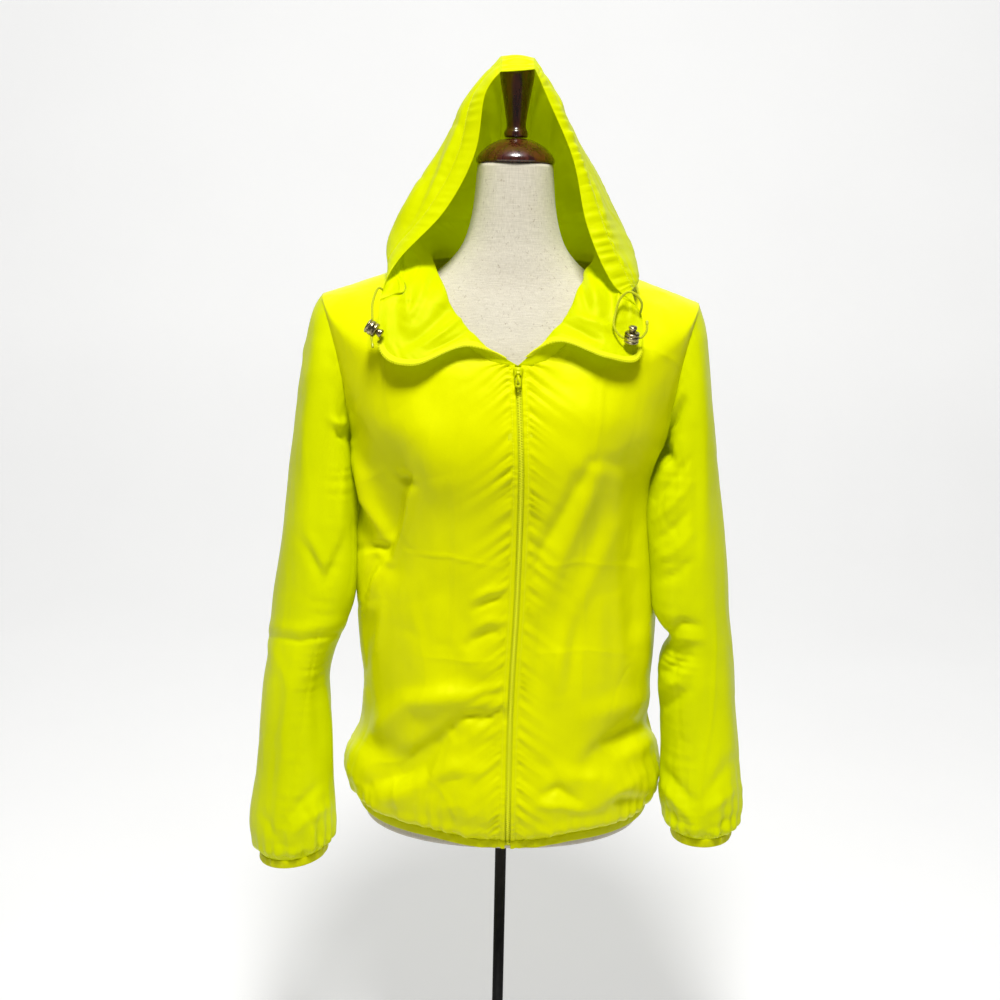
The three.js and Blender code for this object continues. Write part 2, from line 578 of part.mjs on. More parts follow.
// Collar: one band from zip edge to zip edge round the neck
const COLLAR_COLUMNS = 28;
const COLLAR_STEPS = 10;
const collar = sheet(COLLAR_COLUMNS, COLLAR_STEPS, (u, v) =>
  netPoint(RIB_END * u, SEAM_STATION * v),
);
trim(collar, { bottom: NECK_SEAM_GAP, top: HOOD_SEAM_GAP });
add("collar", wall(collar, CLOTH), "cloth");

// Hood: two sides and a narrow gusset over the crown
const HOOD_COLUMNS = 12;
const HOOD_STEPS = 11;
for (const side of ["left", "right"]) {
  const s = sheet(HOOD_COLUMNS, HOOD_STEPS, (u, v) =>
    hoodPoint(side, LAST_RIB * u, SEAM_STATION + (CROWN_STATION - SEAM_STATION) * v),
  );
  trim(s, { bottom: HOOD_SEAM_GAP, top: FOLDED_GAP, last: FOLDED_GAP });
  add("hood_side_" + side, wall(side === "left" ? s : flip(s), CLOTH), "cloth");
}
const GUSSET_STEPS = HOOD_COLUMNS + HOOD_STEPS;
const crownShare = HOOD_COLUMNS / GUSSET_STEPS;
const gusset = sheet(3, GUSSET_STEPS, (u, v) => {
  const at = (side) =>
    v <= crownShare
      ? hoodPoint(side, (LAST_RIB * v) / crownShare, CROWN_STATION)
      : hoodPoint(
          side,
          LAST_RIB,
          CROWN_STATION - ((CROWN_STATION - SEAM_STATION) * (v - crownShare)) / (1 - crownShare),
        );
  const p = at("left").lerp(at("right"), u);
  return p;
});
trim(gusset, { first: FOLDED_GAP, last: FOLDED_GAP, top: FOLDED_GAP });
add("hood_gusset", wall(flip(gusset), CLOTH), "cloth");

// Zip: tapes behind the front edges, the closed teeth between them, and the open teeth along the
// collar's free edges
const zipPoint = (side, row, away) => {
  const z = column(BODY, "zf", row);
  const end = rowEnd(side, "front", row);
  const sweep = rad(column(BODY, "sweep", row));
  const part = Math.pow(away / Math.abs(end.x - zipX(z)), 1 / PLAN_FULLNESS);
  return bodyPoint(side, "front", row, Math.asin(Math.sin(sweep) * part) / sweep);
};
for (const side of ["left", "right"]) {
  const tape = sheet(1, BODY_STEPS, (u, v) =>
    zipPoint(side, rowAt(v), TAPE_INNER + (TAPE_OUTER - TAPE_INNER) * u),
  );
  add("zip_tape_" + side, wall(side === "left" ? flip(tape) : tape, CLOTH, -TAPE_DROP), "tape");
}
const TEETH_TOP_ROW = 20.5;
const TEETH_DROP = 0.6;
const teeth = sheet(2, BODY_STEPS, (u, v) => {
  const side = u < 0.5 ? "left" : "right";
  const away = Math.abs(u - 0.5) * ZIP_TEETH_WIDTH;
  return zipPoint(side, TEETH_TOP_ROW * v, away);
});
add("zip_teeth", wall(teeth, ZIP_TEETH_DEPTH, -TEETH_DROP), "teeth");

const EDGE_RADIUS = 1.3;
const EDGE_CLEAR = 1.1;
const EDGE_FIRST = 1;
const EDGE_LAST = 8; // in steps of the collar, so that both follow the same chords
for (const side of ["left", "right"]) {
  const edge = sheet(
    6,
    EDGE_LAST - EDGE_FIRST,
    (u, v) => {
      const step = EDGE_FIRST + (EDGE_LAST - EDGE_FIRST) * v;
      const station = (SEAM_STATION * step) / COLLAR_STEPS;
      const p = hoodPoint(side, 0, station);
      const outward = p.clone().sub(hoodPoint(side, 0.12, station)).normalize();
      const along = hoodPoint(side, 0, station + 0.05).sub(p).normalize();
      const across = outward.clone().cross(along).normalize();
      const middle = p.addScaledVector(outward, EDGE_RADIUS + EDGE_CLEAR);
      return middle
        .addScaledVector(outward, EDGE_RADIUS * Math.cos(TAU * u))
        .addScaledVector(across, -EDGE_RADIUS * Math.sin(TAU * u));
    },
    { round: true },
  );
  add("zip_edge_" + side, capped(edge), "teeth");
}

// Slider and pull tab, drawn about a point of the zip line: +Z up the zip, -Y away from the cloth.
// The tab swings on a pin between the slider's two cheeks.
const SLIDER_ROW = 18.6;
const SLIDER_FRONT = 4.6;
const SLIDER_BACK = 1.0;
const HINGE_OUT = 7.3;
const PIN_RADIUS = 0.9;
const CHEEK_INNER = 1.8;
const CHEEK_THICK = 1.2;
const TAB_WIDTH = 6.4;
const TAB_LENGTH = 14.5;
const TAB_THICK = 1.5;
const EYE_RADIUS = 2.3;
const PLAY = 0.4;
const CHEEK_HEIGHT = 4;
const CHEEK_ROUND = 1.4; // metal in front of the pin's axis
const CHEEK_ROOT = 0.5; // how far a cheek sinks into the plate
const hinge = zipPoint("right", SLIDER_ROW, 0);
const zipLean = hinge.clone().sub(zipPoint("right", SLIDER_ROW - 2, 0));
const LEAN = -Math.atan2(zipLean.y, zipLean.z);
const place = (g) => g.rotateX(LEAN).translate(hinge.x, hinge.y, hinge.z);
const block = (x, y, z, cx, cy, cz) => solid(new THREE.BoxGeometry(x, y, z).translate(cx, cy, cz));
const rodX = (radius, length, y, z) =>
  solid(
    new THREE.CylinderGeometry(radius, radius, length, 20).rotateZ(Math.PI / 2).translate(0, y, z),
  );
const shield = new THREE.Shape();
shield.moveTo(-3.6, -8);
shield.lineTo(3.6, -8);
shield.quadraticCurveTo(4.2, -2, 5, 3);
shield.quadraticCurveTo(4.6, 7, 1.5, 7.5);
shield.lineTo(-1.5, 7.5);
shield.quadraticCurveTo(-4.6, 7, -5, 3);
shield.quadraticCurveTo(-4.2, -2, -3.6, -8);
const plate = new THREE.ExtrudeGeometry(shield, {
  depth: SLIDER_FRONT - SLIDER_BACK,
  bevelEnabled: false,
  curveSegments: 5,
})
  .rotateX(Math.PI / 2)
  .translate(0, -SLIDER_BACK, 0);
const cheekFront = HINGE_OUT + CHEEK_ROUND;
const cheekBack = SLIDER_FRONT - CHEEK_ROOT;
const cheek = (sign) =>
  block(
    CHEEK_THICK,
    cheekFront - cheekBack,
    CHEEK_HEIGHT,
    sign * (CHEEK_INNER + CHEEK_THICK / 2),
    -(cheekFront + cheekBack) / 2,
    0,
  );
const slider = solid(plate)
  .add(cheek(-1))
  .add(cheek(1))
  .add(rodX(PIN_RADIUS, 2 * CHEEK_INNER + CHEEK_THICK, -HINGE_OUT, 0));
add("slider", place(geometryOf(slider)), "teeth");
const SHANK = 1.35; // half-width where the tab passes between the cheeks
const SHANK_TOP = -0.6;
const SHANK_END = -2.6;
const SHOULDER = -4;
const TAB_ROUND = 2;
const TAB_HOLE = 1.1;
const tabShape = new THREE.Shape();
tabShape.moveTo(-TAB_WIDTH / 2, SHOULDER);
tabShape.lineTo(-TAB_WIDTH / 2, -TAB_LENGTH + TAB_ROUND);
tabShape.quadraticCurveTo(-TAB_WIDTH / 2, -TAB_LENGTH, 0, -TAB_LENGTH);
tabShape.quadraticCurveTo(TAB_WIDTH / 2, -TAB_LENGTH, TAB_WIDTH / 2, -TAB_LENGTH + TAB_ROUND);
tabShape.lineTo(TAB_WIDTH / 2, SHOULDER);
tabShape.lineTo(SHANK, SHANK_END);
tabShape.lineTo(SHANK, SHANK_TOP);
tabShape.lineTo(-SHANK, SHANK_TOP);
tabShape.lineTo(-SHANK, SHANK_END);
const tabHole = new THREE.Path();
tabHole.absarc(0, -TAB_LENGTH + 2 * TAB_ROUND, TAB_HOLE, 0, TAU, true);
tabShape.holes.push(tabHole);
const tabPlate = new THREE.ExtrudeGeometry(tabShape, {
  depth: TAB_THICK,
  bevelEnabled: false,
  curveSegments: 6,
})
  .rotateX(Math.PI / 2)
  .translate(0, -HINGE_OUT + TAB_THICK / 2, 0);
const tab = solid(tabPlate)
  .add(rodX(EYE_RADIUS, 2 * (CHEEK_INNER - PLAY), -HINGE_OUT, 0))
  .subtract(rodX(PIN_RADIUS + PLAY, 2 * TAB_WIDTH, -HINGE_OUT, 0));
add("pull_tab", place(geometryOf(tab)), "teeth");

// Cord locks: a metal barrel with a hole across it for the cord, and the plunger at its end
const LOCK_RADIUS = 7.4;
const LOCK_LENGTH = 11;
const LOCK_HOLE = 1.7;
const PLUNGER_RADIUS = 4.2;
const PLUNGER_LENGTH = 6;
const PLUNGER_GAP = 0.3;
const LOCKS = {
  left: { hub: V(-137.7, -109.8, 947.5), axis: V(0.86, -0.12, -0.5), through: V(0, -0.4, -0.9) },
  right: { hub: V(116.6, -111.5, 943.5), axis: V(0.05, -0.3, 0.95), through: V(1, 0, 0) },
};
// The drawcord leaves the channel at a mouth, given in steps up the hood's front edge, and follows
// hand-placed points before and after its lock
const CORDS = {
  left: {
    mouth: 0.6,
    before: [[-138.5, -94, 972]],
    after: [[-136, -119, 930]],
  },
  right: {
    mouth: 0.05,
    before: [
      [126.5, -98.5, 976], [121, -100, 984], [113, -99, 987], [105, -98.5, 980], [101, -101, 967],
      [99.5, -107, 953],
    ],
    after: [[131, -110, 950], [131.5, -106, 959]],
  },
};
const MOUTH_GAP = 0.8; // from the cord's cut end to the middle of the hood's edge
const MOUTH_RUN = 5;
const THROUGH_LOCK = [-9, -4.5, 0, 4.5, 9]; // the cord runs straight here, from the lock's middle
const CORD_SIDES = 8;
// Two points straight out of the front edge of the hood: at the mouth, and a little further
function mouth(side, step) {
  const at = (column, row) =>
    hoodPoint(
      side,
      (LAST_RIB * column) / HOOD_COLUMNS,
      SEAM_STATION + ((CROWN_STATION - SEAM_STATION) * row) / HOOD_STEPS,
    );
  const low = Math.floor(step);
  const along = at(0, low + 1).sub(at(0, low)).normalize();
  const edge = at(0, low).lerp(at(0, low + 1), step - low);
  const inner = at(1, low).lerp(at(1, low + 1), step - low);
  const out = edge.clone().sub(inner);
  out.addScaledVector(along, -out.dot(along)).normalize();
  return [MOUTH_GAP, MOUTH_RUN].map((far) => edge.clone().addScaledVector(out, far));
}
for (const side of ["left", "right"]) {
  const { hub, axis, through } = LOCKS[side];
  const { mouth: step, before, after } = CORDS[side];
  const ahead = through.clone().normalize();
  const straight = THROUGH_LOCK.map((far) => hub.clone().addScaledVector(ahead, far));
  const points = [...mouth(side, step)];
  points.push(...before.map((p) => V(...p)), ...straight, ...after.map((p) => V(...p)));
  const path = new THREE.CatmullRomCurve3(points);
  const ring = new THREE.Shape();
  ring.setFromPoints(
    Array.from({ length: CORD_SIDES }, (_, k) => {
      const turn = (TAU * k) / CORD_SIDES;
      return new THREE.Vector2(CORD_RADIUS * Math.cos(turn), CORD_RADIUS * Math.sin(turn));
    }),
  );
  const steps = Math.round(path.getLength() / CORD_STEP);
  const cord = new THREE.ExtrudeGeometry(ring, { steps, extrudePath: path, bevelEnabled: false });
  add("drawcord_" + side, cord, "cord");
  const turn = new THREE.Quaternion().setFromUnitVectors(V(0, 1, 0), axis.clone().normalize());
  const bore = new THREE.CylinderGeometry(LOCK_HOLE, LOCK_HOLE, LOCK_RADIUS * 4, 12)
    .applyQuaternion(new THREE.Quaternion().setFromUnitVectors(V(0, 1, 0), ahead))
    .translate(...hub.toArray());
  const barrel = new THREE.CylinderGeometry(LOCK_RADIUS, LOCK_RADIUS, LOCK_LENGTH, 16)
    .applyQuaternion(turn)
    .translate(...hub.toArray());
  add("cord_lock_" + side, geometryOf(solid(barrel).subtract(solid(bore))), "metal");
  const beyond = LOCK_LENGTH / 2 + PLUNGER_GAP + PLUNGER_LENGTH / 2;
  const plunger = new THREE.CylinderGeometry(PLUNGER_RADIUS, PLUNGER_RADIUS, PLUNGER_LENGTH, 12)
    .translate(0, beyond, 0)
    .applyQuaternion(turn)
    .translate(...hub.toArray());
  add("cord_plunger_" + side, plunger, "metal");
}

// Dress form: a row per section from the rim to the top of the neck
const FORM = [
  { z: 396, wide: 157, front: -110, back: 110 },
  { z: 440, wide: 157, front: -111, back: 112 },
  { z: 500, wide: 150, front: -106, back: 109 },
  { z: 570, wide: 134, front: -98, back: 99 },
  { z: 640, wide: 120, front: -92, back: 88 },
  { z: 700, wide: 124, front: -95, back: 84 },
  { z: 760, wide: 136, front: -102, back: 85 },
  { z: 825, wide: 148, front: -108, back: 90 },
  { z: 880, wide: 156, front: -104, back: 92 },
  { z: 920, wide: 166, front: -92, back: 86 },
  { z: 945, wide: 168, front: -78, back: 76 },
  { z: 962, wide: 158, front: -68, back: 66 },
  { z: 976, wide: 136, front: -60, back: 58 },
  { z: 988, wide: 108, front: -54, back: 52 },
  { z: 1000, wide: 84, front: -50, back: 48 },
  { z: 1014, wide: 66, front: -47, back: 46 },
  { z: 1034, wide: 52, front: -43, back: 43 },
  { z: 1066, wide: 43.5, front: -40, back: 41 },
  { z: 1111, wide: 39.5, front: -38, back: 40 },
];
const FORM_COLUMNS = 22;
const FORM_FULLNESS = 0.9;
const formRows = FORM.length - 1;
const fuller = (sine) => Math.sign(sine) * Math.pow(Math.abs(sine), FORM_FULLNESS);
const form = sheet(
  FORM_COLUMNS,
  formRows,
  (u, v) => {
    const row = v * formRows;
    const s = fuller(Math.sin(TAU * u));
    const y = s < 0 ? -s * column(FORM, "front", row) : s * column(FORM, "back", row);
    return V(fuller(Math.cos(TAU * u)) * column(FORM, "wide", row), y, column(FORM, "z", row));
  },
  { round: true },
);
add("form_torso", capped(form), "linen");

// Turned wood: the dome on the neck and the finial above it
const turned = (profile, segments) => {
  const g = new THREE.LatheGeometry(profile.map(([r, z]) => new THREE.Vector2(r, z)), segments);
  return g.rotateX(Math.PI / 2);
};
const WOOD_GAP = 0.4; // between pieces that stand on each other
const CAP_BASE = FORM[formRows].z + WOOD_GAP;
const CAP_HEIGHT = 26;
add(
  "neck_cap",
  turned(
    [
      [0, 0], [39, 0], [41, 2], [41, 5], [37, 12], [29, 19], [20, 24], [12, CAP_HEIGHT],
      [0, CAP_HEIGHT],
    ].map(([r, z]) => [r, z + CAP_BASE]),
    24,
  ),
  "wood",
);
const FINIAL_BASE = CAP_BASE + CAP_HEIGHT + WOOD_GAP;
add(
  "finial",
  turned(
    [
      [0, 0], [11, 0], [12.5, 3], [12, 7], [10, 9.5], [10.2, 14], [12.5, 30], [15.5, 46],
      [17.8, 58], [17.8, 68], [17, 73], [14, 76], [0, 77],
    ].map(([r, z]) => [r, z + FINIAL_BASE]),
    18,
  ),
  "wood",
);
const poleTop = FORM[0].z - WOOD_GAP;
const poleFoot = BASE_HEIGHT + WOOD_GAP;
add(
  "pole",
  new THREE.CylinderGeometry(POLE_RADIUS, POLE_RADIUS, poleTop - poleFoot, 24)
    .rotateX(Math.PI / 2)
    .translate(0, 0, (poleTop + poleFoot) / 2),
  "iron",
);
const rim = BASE_RADIUS - BASE_CHAMFER;
const shoulderOfBase = BASE_HEIGHT - BASE_CHAMFER;
add(
  "base",
  turned(
    [[0, 0], [BASE_RADIUS, 0], [BASE_RADIUS, shoulderOfBase], [rim, BASE_HEIGHT], [0, BASE_HEIGHT]],
    40,
  ),
  "iron",
);

export default model;
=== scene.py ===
# %% [markdown]
# # A windbreaker on a dress form
# The real thing is a thin nylon jacket with a raised hood, hung on a linen dress form. It was cut
# flat, sewn, and then fell into soft folds. This script makes it in the same order: the shared
# frame first, then the camera, the curves that the cloth follows, each sewn piece, the zip and the
# cords, and last the form and the light.

# %% Load the shared frame
import math

import bmesh
import bpy
import numpy as np
from mathutils import Matrix, Vector


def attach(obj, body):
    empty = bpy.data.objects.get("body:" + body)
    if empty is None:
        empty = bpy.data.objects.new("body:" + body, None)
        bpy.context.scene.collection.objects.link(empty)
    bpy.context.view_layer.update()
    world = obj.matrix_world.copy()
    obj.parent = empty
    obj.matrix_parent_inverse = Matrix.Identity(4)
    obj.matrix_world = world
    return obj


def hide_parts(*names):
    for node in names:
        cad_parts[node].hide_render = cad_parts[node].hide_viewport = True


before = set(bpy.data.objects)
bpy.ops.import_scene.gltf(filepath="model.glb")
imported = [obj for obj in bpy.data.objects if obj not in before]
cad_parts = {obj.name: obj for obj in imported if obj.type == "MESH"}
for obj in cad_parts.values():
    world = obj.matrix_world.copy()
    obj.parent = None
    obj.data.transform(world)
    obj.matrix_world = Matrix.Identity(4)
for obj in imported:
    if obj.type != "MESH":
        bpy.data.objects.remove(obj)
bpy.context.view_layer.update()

print("nodes in the frame:", len(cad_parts))

# %% [markdown]
# ## The camera
# A photographer stood level with the shoulders and tilted the camera down a little, and held it
# about one degree off level. The field of view is 45 degrees, so the lens is worked out from the
# width of the picture rather than guessed in millimetres. `seen` says where a point falls in the
# picture, so a fold can be placed where it is seen in the photograph.

# %% Camera
PICTURE_WIDTH = 1000  # pixels
FOCAL_PIXELS = 1207
SENSOR = 36  # millimetres
CAMERA_AT = (-0.009, -1.300, 1.031)
TILT_DOWN = math.radians(12)
OFF_LEVEL = 0.0201  # radians

camera_data = bpy.data.cameras.new("camera")
camera_data.sensor_width = SENSOR
camera_data.lens = SENSOR * FOCAL_PIXELS / PICTURE_WIDTH
camera_data.clip_start = 0.05
camera = bpy.data.objects.new("camera", camera_data)
bpy.context.scene.collection.objects.link(camera)
level_right = Vector((1, 0, 0))
level_up = Vector((0, math.sin(TILT_DOWN), math.cos(TILT_DOWN)))
backward = Vector((0, -math.cos(TILT_DOWN), math.sin(TILT_DOWN)))
right = level_right * math.cos(OFF_LEVEL) + level_up * math.sin(OFF_LEVEL)
up = level_up * math.cos(OFF_LEVEL) - level_right * math.sin(OFF_LEVEL)
camera.matrix_world = Matrix.Translation(CAMERA_AT) @ Matrix((right, up, backward)).transposed().to_4x4()
bpy.context.scene.camera = camera


def seen(p):
    """Where points in millimetres fall in the picture, across and down, in its pixels."""
    ray = np.asarray(p) / 1000 - CAMERA_AT
    away = -(ray @ np.array(backward))
    across, high = ray @ np.array(right), ray @ np.array(up)
    half = PICTURE_WIDTH / 2
    return half + FOCAL_PIXELS * across / away, half - FOCAL_PIXELS * high / away


print("lens:", round(camera_data.lens, 2), "mm")

# %% [markdown]
# ## Shader maths as plain sums
# A finish is easiest to read when its node tree is written like arithmetic. `Wire` stands for one
# output of a node, and `Finish` for one material. Adding two wires adds a Math node, so
# `0.4 + 0.1 * grain` is a roughness that varies with the grain.

# %% Wire and Finish
class Wire:
    """One output socket of a shader node."""

    def __init__(self, finish, socket):
        self.finish, self.socket = finish, socket

    def maths(self, operation, *values):
        return self.finish.node("Math", {"operation": operation}, dict(enumerate(values)))

    def __add__(self, other):
        return self.maths("ADD", self, other)

    def __sub__(self, other):
        return self.maths("SUBTRACT", self, other)

    def __rsub__(self, other):
        return self.maths("SUBTRACT", other, self)

    def __mul__(self, other):
        return self.maths("MULTIPLY", self, other)

    def __pow__(self, other):
        return self.maths("POWER", self, other)

    __radd__ = __add__
    __rmul__ = __mul__


class Finish:
    """One material, built up from nodes."""

    def __init__(self, name, **shader):
        self.material = bpy.data.materials.new(name)
        self.material.use_nodes = True
        self.tree = self.material.node_tree
        self.shader = self.tree.nodes["Principled BSDF"]
        for socket, value in shader.items():
            self.shader.inputs[socket.replace("_", " ")].default_value = value

    def node(self, kind, settings=None, inputs=None, output=0):
        node = self.tree.nodes.new("ShaderNode" + kind)
        for name, value in (settings or {}).items():
            if name == "stops":
                while len(node.color_ramp.elements) < len(value):
                    node.color_ramp.elements.new(1)
                for stop, (place, colour) in zip(node.color_ramp.elements, value):
                    stop.position, stop.color = place, (*colour, 1)
            else:
                setattr(node, name, value)
        for name, value in (inputs or {}).items():
            if isinstance(value, Wire):
                self.tree.links.new(value.socket, node.inputs[name])
            else:
                node.inputs[name].default_value = value
        return Wire(self, node.outputs[output])

    def place(self, stretch=(1, 1, 1)):
        """Where a point is on the object, in metres, squeezed along each axis."""
        where = self.node("TexCoord", output="Object")
        return self.node("Mapping", {}, {"Vector": where, "Scale": stretch})

    def noise(self, scale, detail=3, rough=0.55, stretch=(1, 1, 1), at=None):
        return self.node(
            "TexNoise",
            {},
            {"Vector": at or self.place(stretch), "Scale": scale, "Detail": detail, "Roughness": rough},
        )

    def waves(self, scale, axis="Z", distortion=0.0, at=None):
        return self.node(
            "TexWave",
            {"bands_direction": axis, "wave_profile": "SIN"},
            {"Vector": at or self.place(), "Scale": scale, "Distortion": distortion},
        )

    def blend(self, mask, first, second):
        """A colour between two, by a mask from 0 to 1."""
        fit = lambda colour: colour if isinstance(colour, Wire) else (*colour, 1)
        return self.node(
            "Mix", {"data_type": "RGBA"}, {0: mask, 6: fit(first), 7: fit(second)}, output=2
        )

    def between(self, value, low, high, out_low=0.0, out_high=1.0):
        """A value moved from one range to another and kept inside it."""
        return self.node(
            "MapRange", {}, {0: value, 1: low, 2: high, 3: out_low, 4: out_high}
        )

    def feed(self, socket, wire):
        self.tree.links.new(wire.socket, self.shader.inputs[socket])

    def let_light_through(self, share, colour):
        """Mixes in a thin cloth's glow: a share of the light that falls on its far side."""
        glow = self.node("BsdfTranslucent", {}, {"Color": (*colour, 1)})
        surface = Wire(self, self.shader.outputs[0])
        mixed = self.node("MixShader", {}, {0: share, 1: surface, 2: glow})
        self.tree.links.new(mixed.socket, self.tree.nodes["Material Output"].inputs["Surface"])

    def bump(self, height, depth, strength=1.0):
        """Raises the surface by height times depth in metres."""
        self.feed(
            "Normal",
            self.node("Bump", {}, {"Height": height, "Distance": depth, "Strength": strength}),
        )


# %% [markdown]
# ## The fluorescent shell cloth
# Down-proof nylon taffeta is a very fine plain weave, calendered until it has a soft satin shine.
# Its dye glows, so it is bright yellow in the light and green-gold in the folds, and its shine
# stays yellow. Its glow is painted here: a faint yellow emission, as strong in shade as in light.
# It also holds small crumples from being packed. The weave and the crumples are bump on the
# finish; everything else that can be seen from a distance is real shape, made further down.

# %% Cloth finishes
def nylon(name, deep, bright, lit_through, shine=0.40):
    """Thin shiny taffeta, with two close colours and the share of light that comes through."""
    cloth = Finish(
        name,
        Specular_IOR_Level=0.30,
        Specular_Tint=(1.0, 0.97, 0.06, 1),
        # painted glow: a faint yellow emission that the cloth gives off in shade as well as in light
        Emission_Color=(0.72, 0.84, 0.0, 1),
        Emission_Strength=0.03,
    )
    drift = cloth.noise(9, detail=4)
    grain = cloth.noise(900, detail=2)
    cloth.feed("Base Color", cloth.blend(cloth.between(drift * 0.8 + grain * 0.2, 0.35, 0.65), deep, bright))
    cloth.feed("Roughness", shine + 0.1 * cloth.noise(45, detail=3) - 0.05)
    crumple = cloth.noise(38, detail=5, rough=0.6, stretch=(1, 1, 0.55))
    weave = cloth.waves(1500, "X") * cloth.waves(1500, "Z")
    cloth.bump(crumple + 0.02 * weave + 0.03 * grain, 0.0016, 0.55)
    cloth.let_light_through(lit_through, (0.86, 0.95, 0.0))
    return cloth.material


shell_cloth = nylon("shell_nylon", (0.68, 0.71, 0.0), (0.78, 0.81, 0.0), 0.06)
sleeve_cloth = nylon("sleeve_nylon", (0.66, 0.73, 0.0), (0.76, 0.83, 0.0), 0.14)
hood_cloth = nylon("hood_nylon", (0.72, 0.77, 0.0), (0.82, 0.87, 0.0), 0.36)
# painted shade: the hem and cuff bands get a darker copy of the shell nylon, as if in the shadow of the cloth above
# them
shaded_binding_cloth = nylon("binding_nylon_shaded", (0.54, 0.56, 0.0), (0.68, 0.70, 0.0), 0.05, 0.5)
print("cloth finishes:", shell_cloth.name, sleeve_cloth.name, hood_cloth.name, shaded_binding_cloth.name)

# %% [markdown]
# ## Trim finishes
# The zip tape is woven polyester, duller than the shell. The coil teeth are moulded in the same
# yellow and catch small lights. The slider is painted metal, and the cord locks are dark plated
# metal, rubbed brighter where fingers pinch them.

# %% Trim finishes
def woven_tape():
    tape = Finish("zip_tape_weave", Roughness=0.7, Specular_IOR_Level=0.2)
    rib = tape.waves(900, "Z") * 0.6 + tape.noise(700) * 0.4
    tape.feed("Base Color", tape.blend(rib, (0.70, 0.76, 0.0), (0.86, 0.90, 0.0)))
    tape.bump(rib, 0.0002, 0.8)
    return tape.material


def moulded_teeth():
    teeth = Finish("moulded_teeth", Specular_IOR_Level=0.4, Specular_Tint=(1, 1, 0.3, 1))
    speck = teeth.noise(400)
    teeth.feed("Base Color", teeth.blend(speck, (0.76, 0.80, 0.0), (0.90, 0.94, 0.01)))
    teeth.feed("Roughness", 0.28 + 0.14 * speck)
    teeth.bump(speck, 0.0001, 0.5)
    return teeth.material


def painted_metal():
    paint = Finish("painted_slider", Specular_IOR_Level=0.4, Specular_Tint=(1, 1, 0.2, 1))
    wear = paint.between(paint.noise(260, detail=5), 0.66, 0.74)
    paint.feed("Base Color", paint.blend(wear, (0.58, 0.63, 0.0), (0.42, 0.42, 0.20)))
    paint.feed("Metallic", wear * 0.8)
    paint.feed("Roughness", 0.26 + 0.2 * wear)
    paint.bump(paint.noise(500), 0.0001, 0.4)
    return paint.material


def plated_metal():
    plate = Finish("plated_lock", Metallic=1.0, Roughness=0.25)
    rub = plate.noise(180, detail=6, rough=0.65)
    plate.feed("Base Color", plate.blend(plate.between(rub, 0.4, 0.62), (0.07, 0.06, 0.03), (0.62, 0.54, 0.30)))
    plate.feed("Roughness", 0.14 + 0.3 * rub)
    plate.bump(plate.noise(700), 0.00008, 0.5)
    return plate.material


def braided_cord():
    """A round braid: two sets of strands that cross, drawn round and along the tube."""
    cord = Finish("braided_cord", Roughness=0.55, Specular_IOR_Level=0.3)
    turned = lambda angle: cord.node(
        "Mapping",
        {},
        {"Vector": cord.node("UVMap", {"uv_map": "UVMap"}), "Rotation": (0, 0, angle)},
    )
    strands = cord.waves(2.2, "X", at=turned(0.7)) * cord.waves(2.2, "X", at=turned(-0.7))
    cord.feed("Base Color", cord.blend(strands, (0.52, 0.56, 0.0), (0.90, 0.95, 0.02)))
    cord.bump(strands, 0.0003, 0.8)
    return cord.material


def sewing_thread():
    thread = Finish("sewing_thread", Roughness=0.5, Specular_IOR_Level=0.3)
    twist = thread.noise(2500)
    thread.feed("Base Color", thread.blend(twist, (0.78, 0.82, 0.0), (0.92, 0.96, 0.0)))
    thread.bump(twist, 0.00005)
    return thread.material


def heat_shrunk():
    """The short tube shrunk on a cord's cut end."""
    tube_end = Finish("cord_end_plastic", Specular_IOR_Level=0.45)
    speck = tube_end.noise(300)
    tube_end.feed("Base Color", tube_end.blend(speck, (0.40, 0.43, 0.0), (0.52, 0.55, 0.01)))
    tube_end.feed("Roughness", 0.3 + 0.15 * speck)
    tube_end.bump(speck, 0.00005)
    return tube_end.material


tip_plastic = heat_shrunk()
tape_weave, teeth_plastic, slider_paint = woven_tape(), moulded_teeth(), painted_metal()
lock_plate, cord_braid, thread_twist = plated_metal(), braided_cord(), sewing_thread()

# %% [markdown]
# ## The stand's finishes
# The torso is covered in unbleached linen: a coarse, uneven weave with small dark flecks of husk.
# The cap and finial are stained, polished wood with a clear coat, and the pole is black iron.

# %% Stand finishes
def flecked_linen():
    linen = Finish("flecked_linen", Roughness=0.85, Sheen_Weight=0.25, Sheen_Roughness=0.5)
    warp = linen.noise(1.0, detail=2, stretch=(1400, 1400, 90))
    weft = linen.noise(1.0, detail=2, stretch=(90, 90, 1400))
    thread = warp * 0.5 + weft * 0.5
    cloth = linen.blend(linen.between(thread, 0.35, 0.65), (0.48, 0.44, 0.355), (0.63, 0.585, 0.485))
    flecks = linen.between(linen.noise(330, detail=4, rough=0.7, stretch=(1, 1, 0.6)), 0.60, 0.68)
    cloth = linen.blend(flecks * 0.55, cloth, (0.20, 0.14, 0.09))
    stains = linen.between(linen.noise(14, detail=3), 0.45, 0.75) * 0.10
    linen.feed("Base Color", linen.blend(stains, cloth, (0.62, 0.50, 0.34)))
    linen.bump(thread, 0.0004, 0.7)
    return linen.material


def polished_wood():
    wood = Finish("polished_wood", Coat_Weight=1.0, Coat_Roughness=0.06, Specular_IOR_Level=0.5)
    grain = wood.noise(1.0, detail=6, rough=0.6, stretch=(160, 160, 9))
    pores = wood.noise(1.0, detail=3, stretch=(900, 900, 40))
    figure = wood.between(grain * 0.75 + pores * 0.25, 0.34, 0.68)
    wood.feed("Base Color", wood.blend(figure, (0.013, 0.002, 0.0015), (0.10, 0.013, 0.005)))
    wood.feed("Roughness", 0.22 + 0.15 * figure)
    wood.bump(pores, 0.00003, 0.2)
    return wood.material


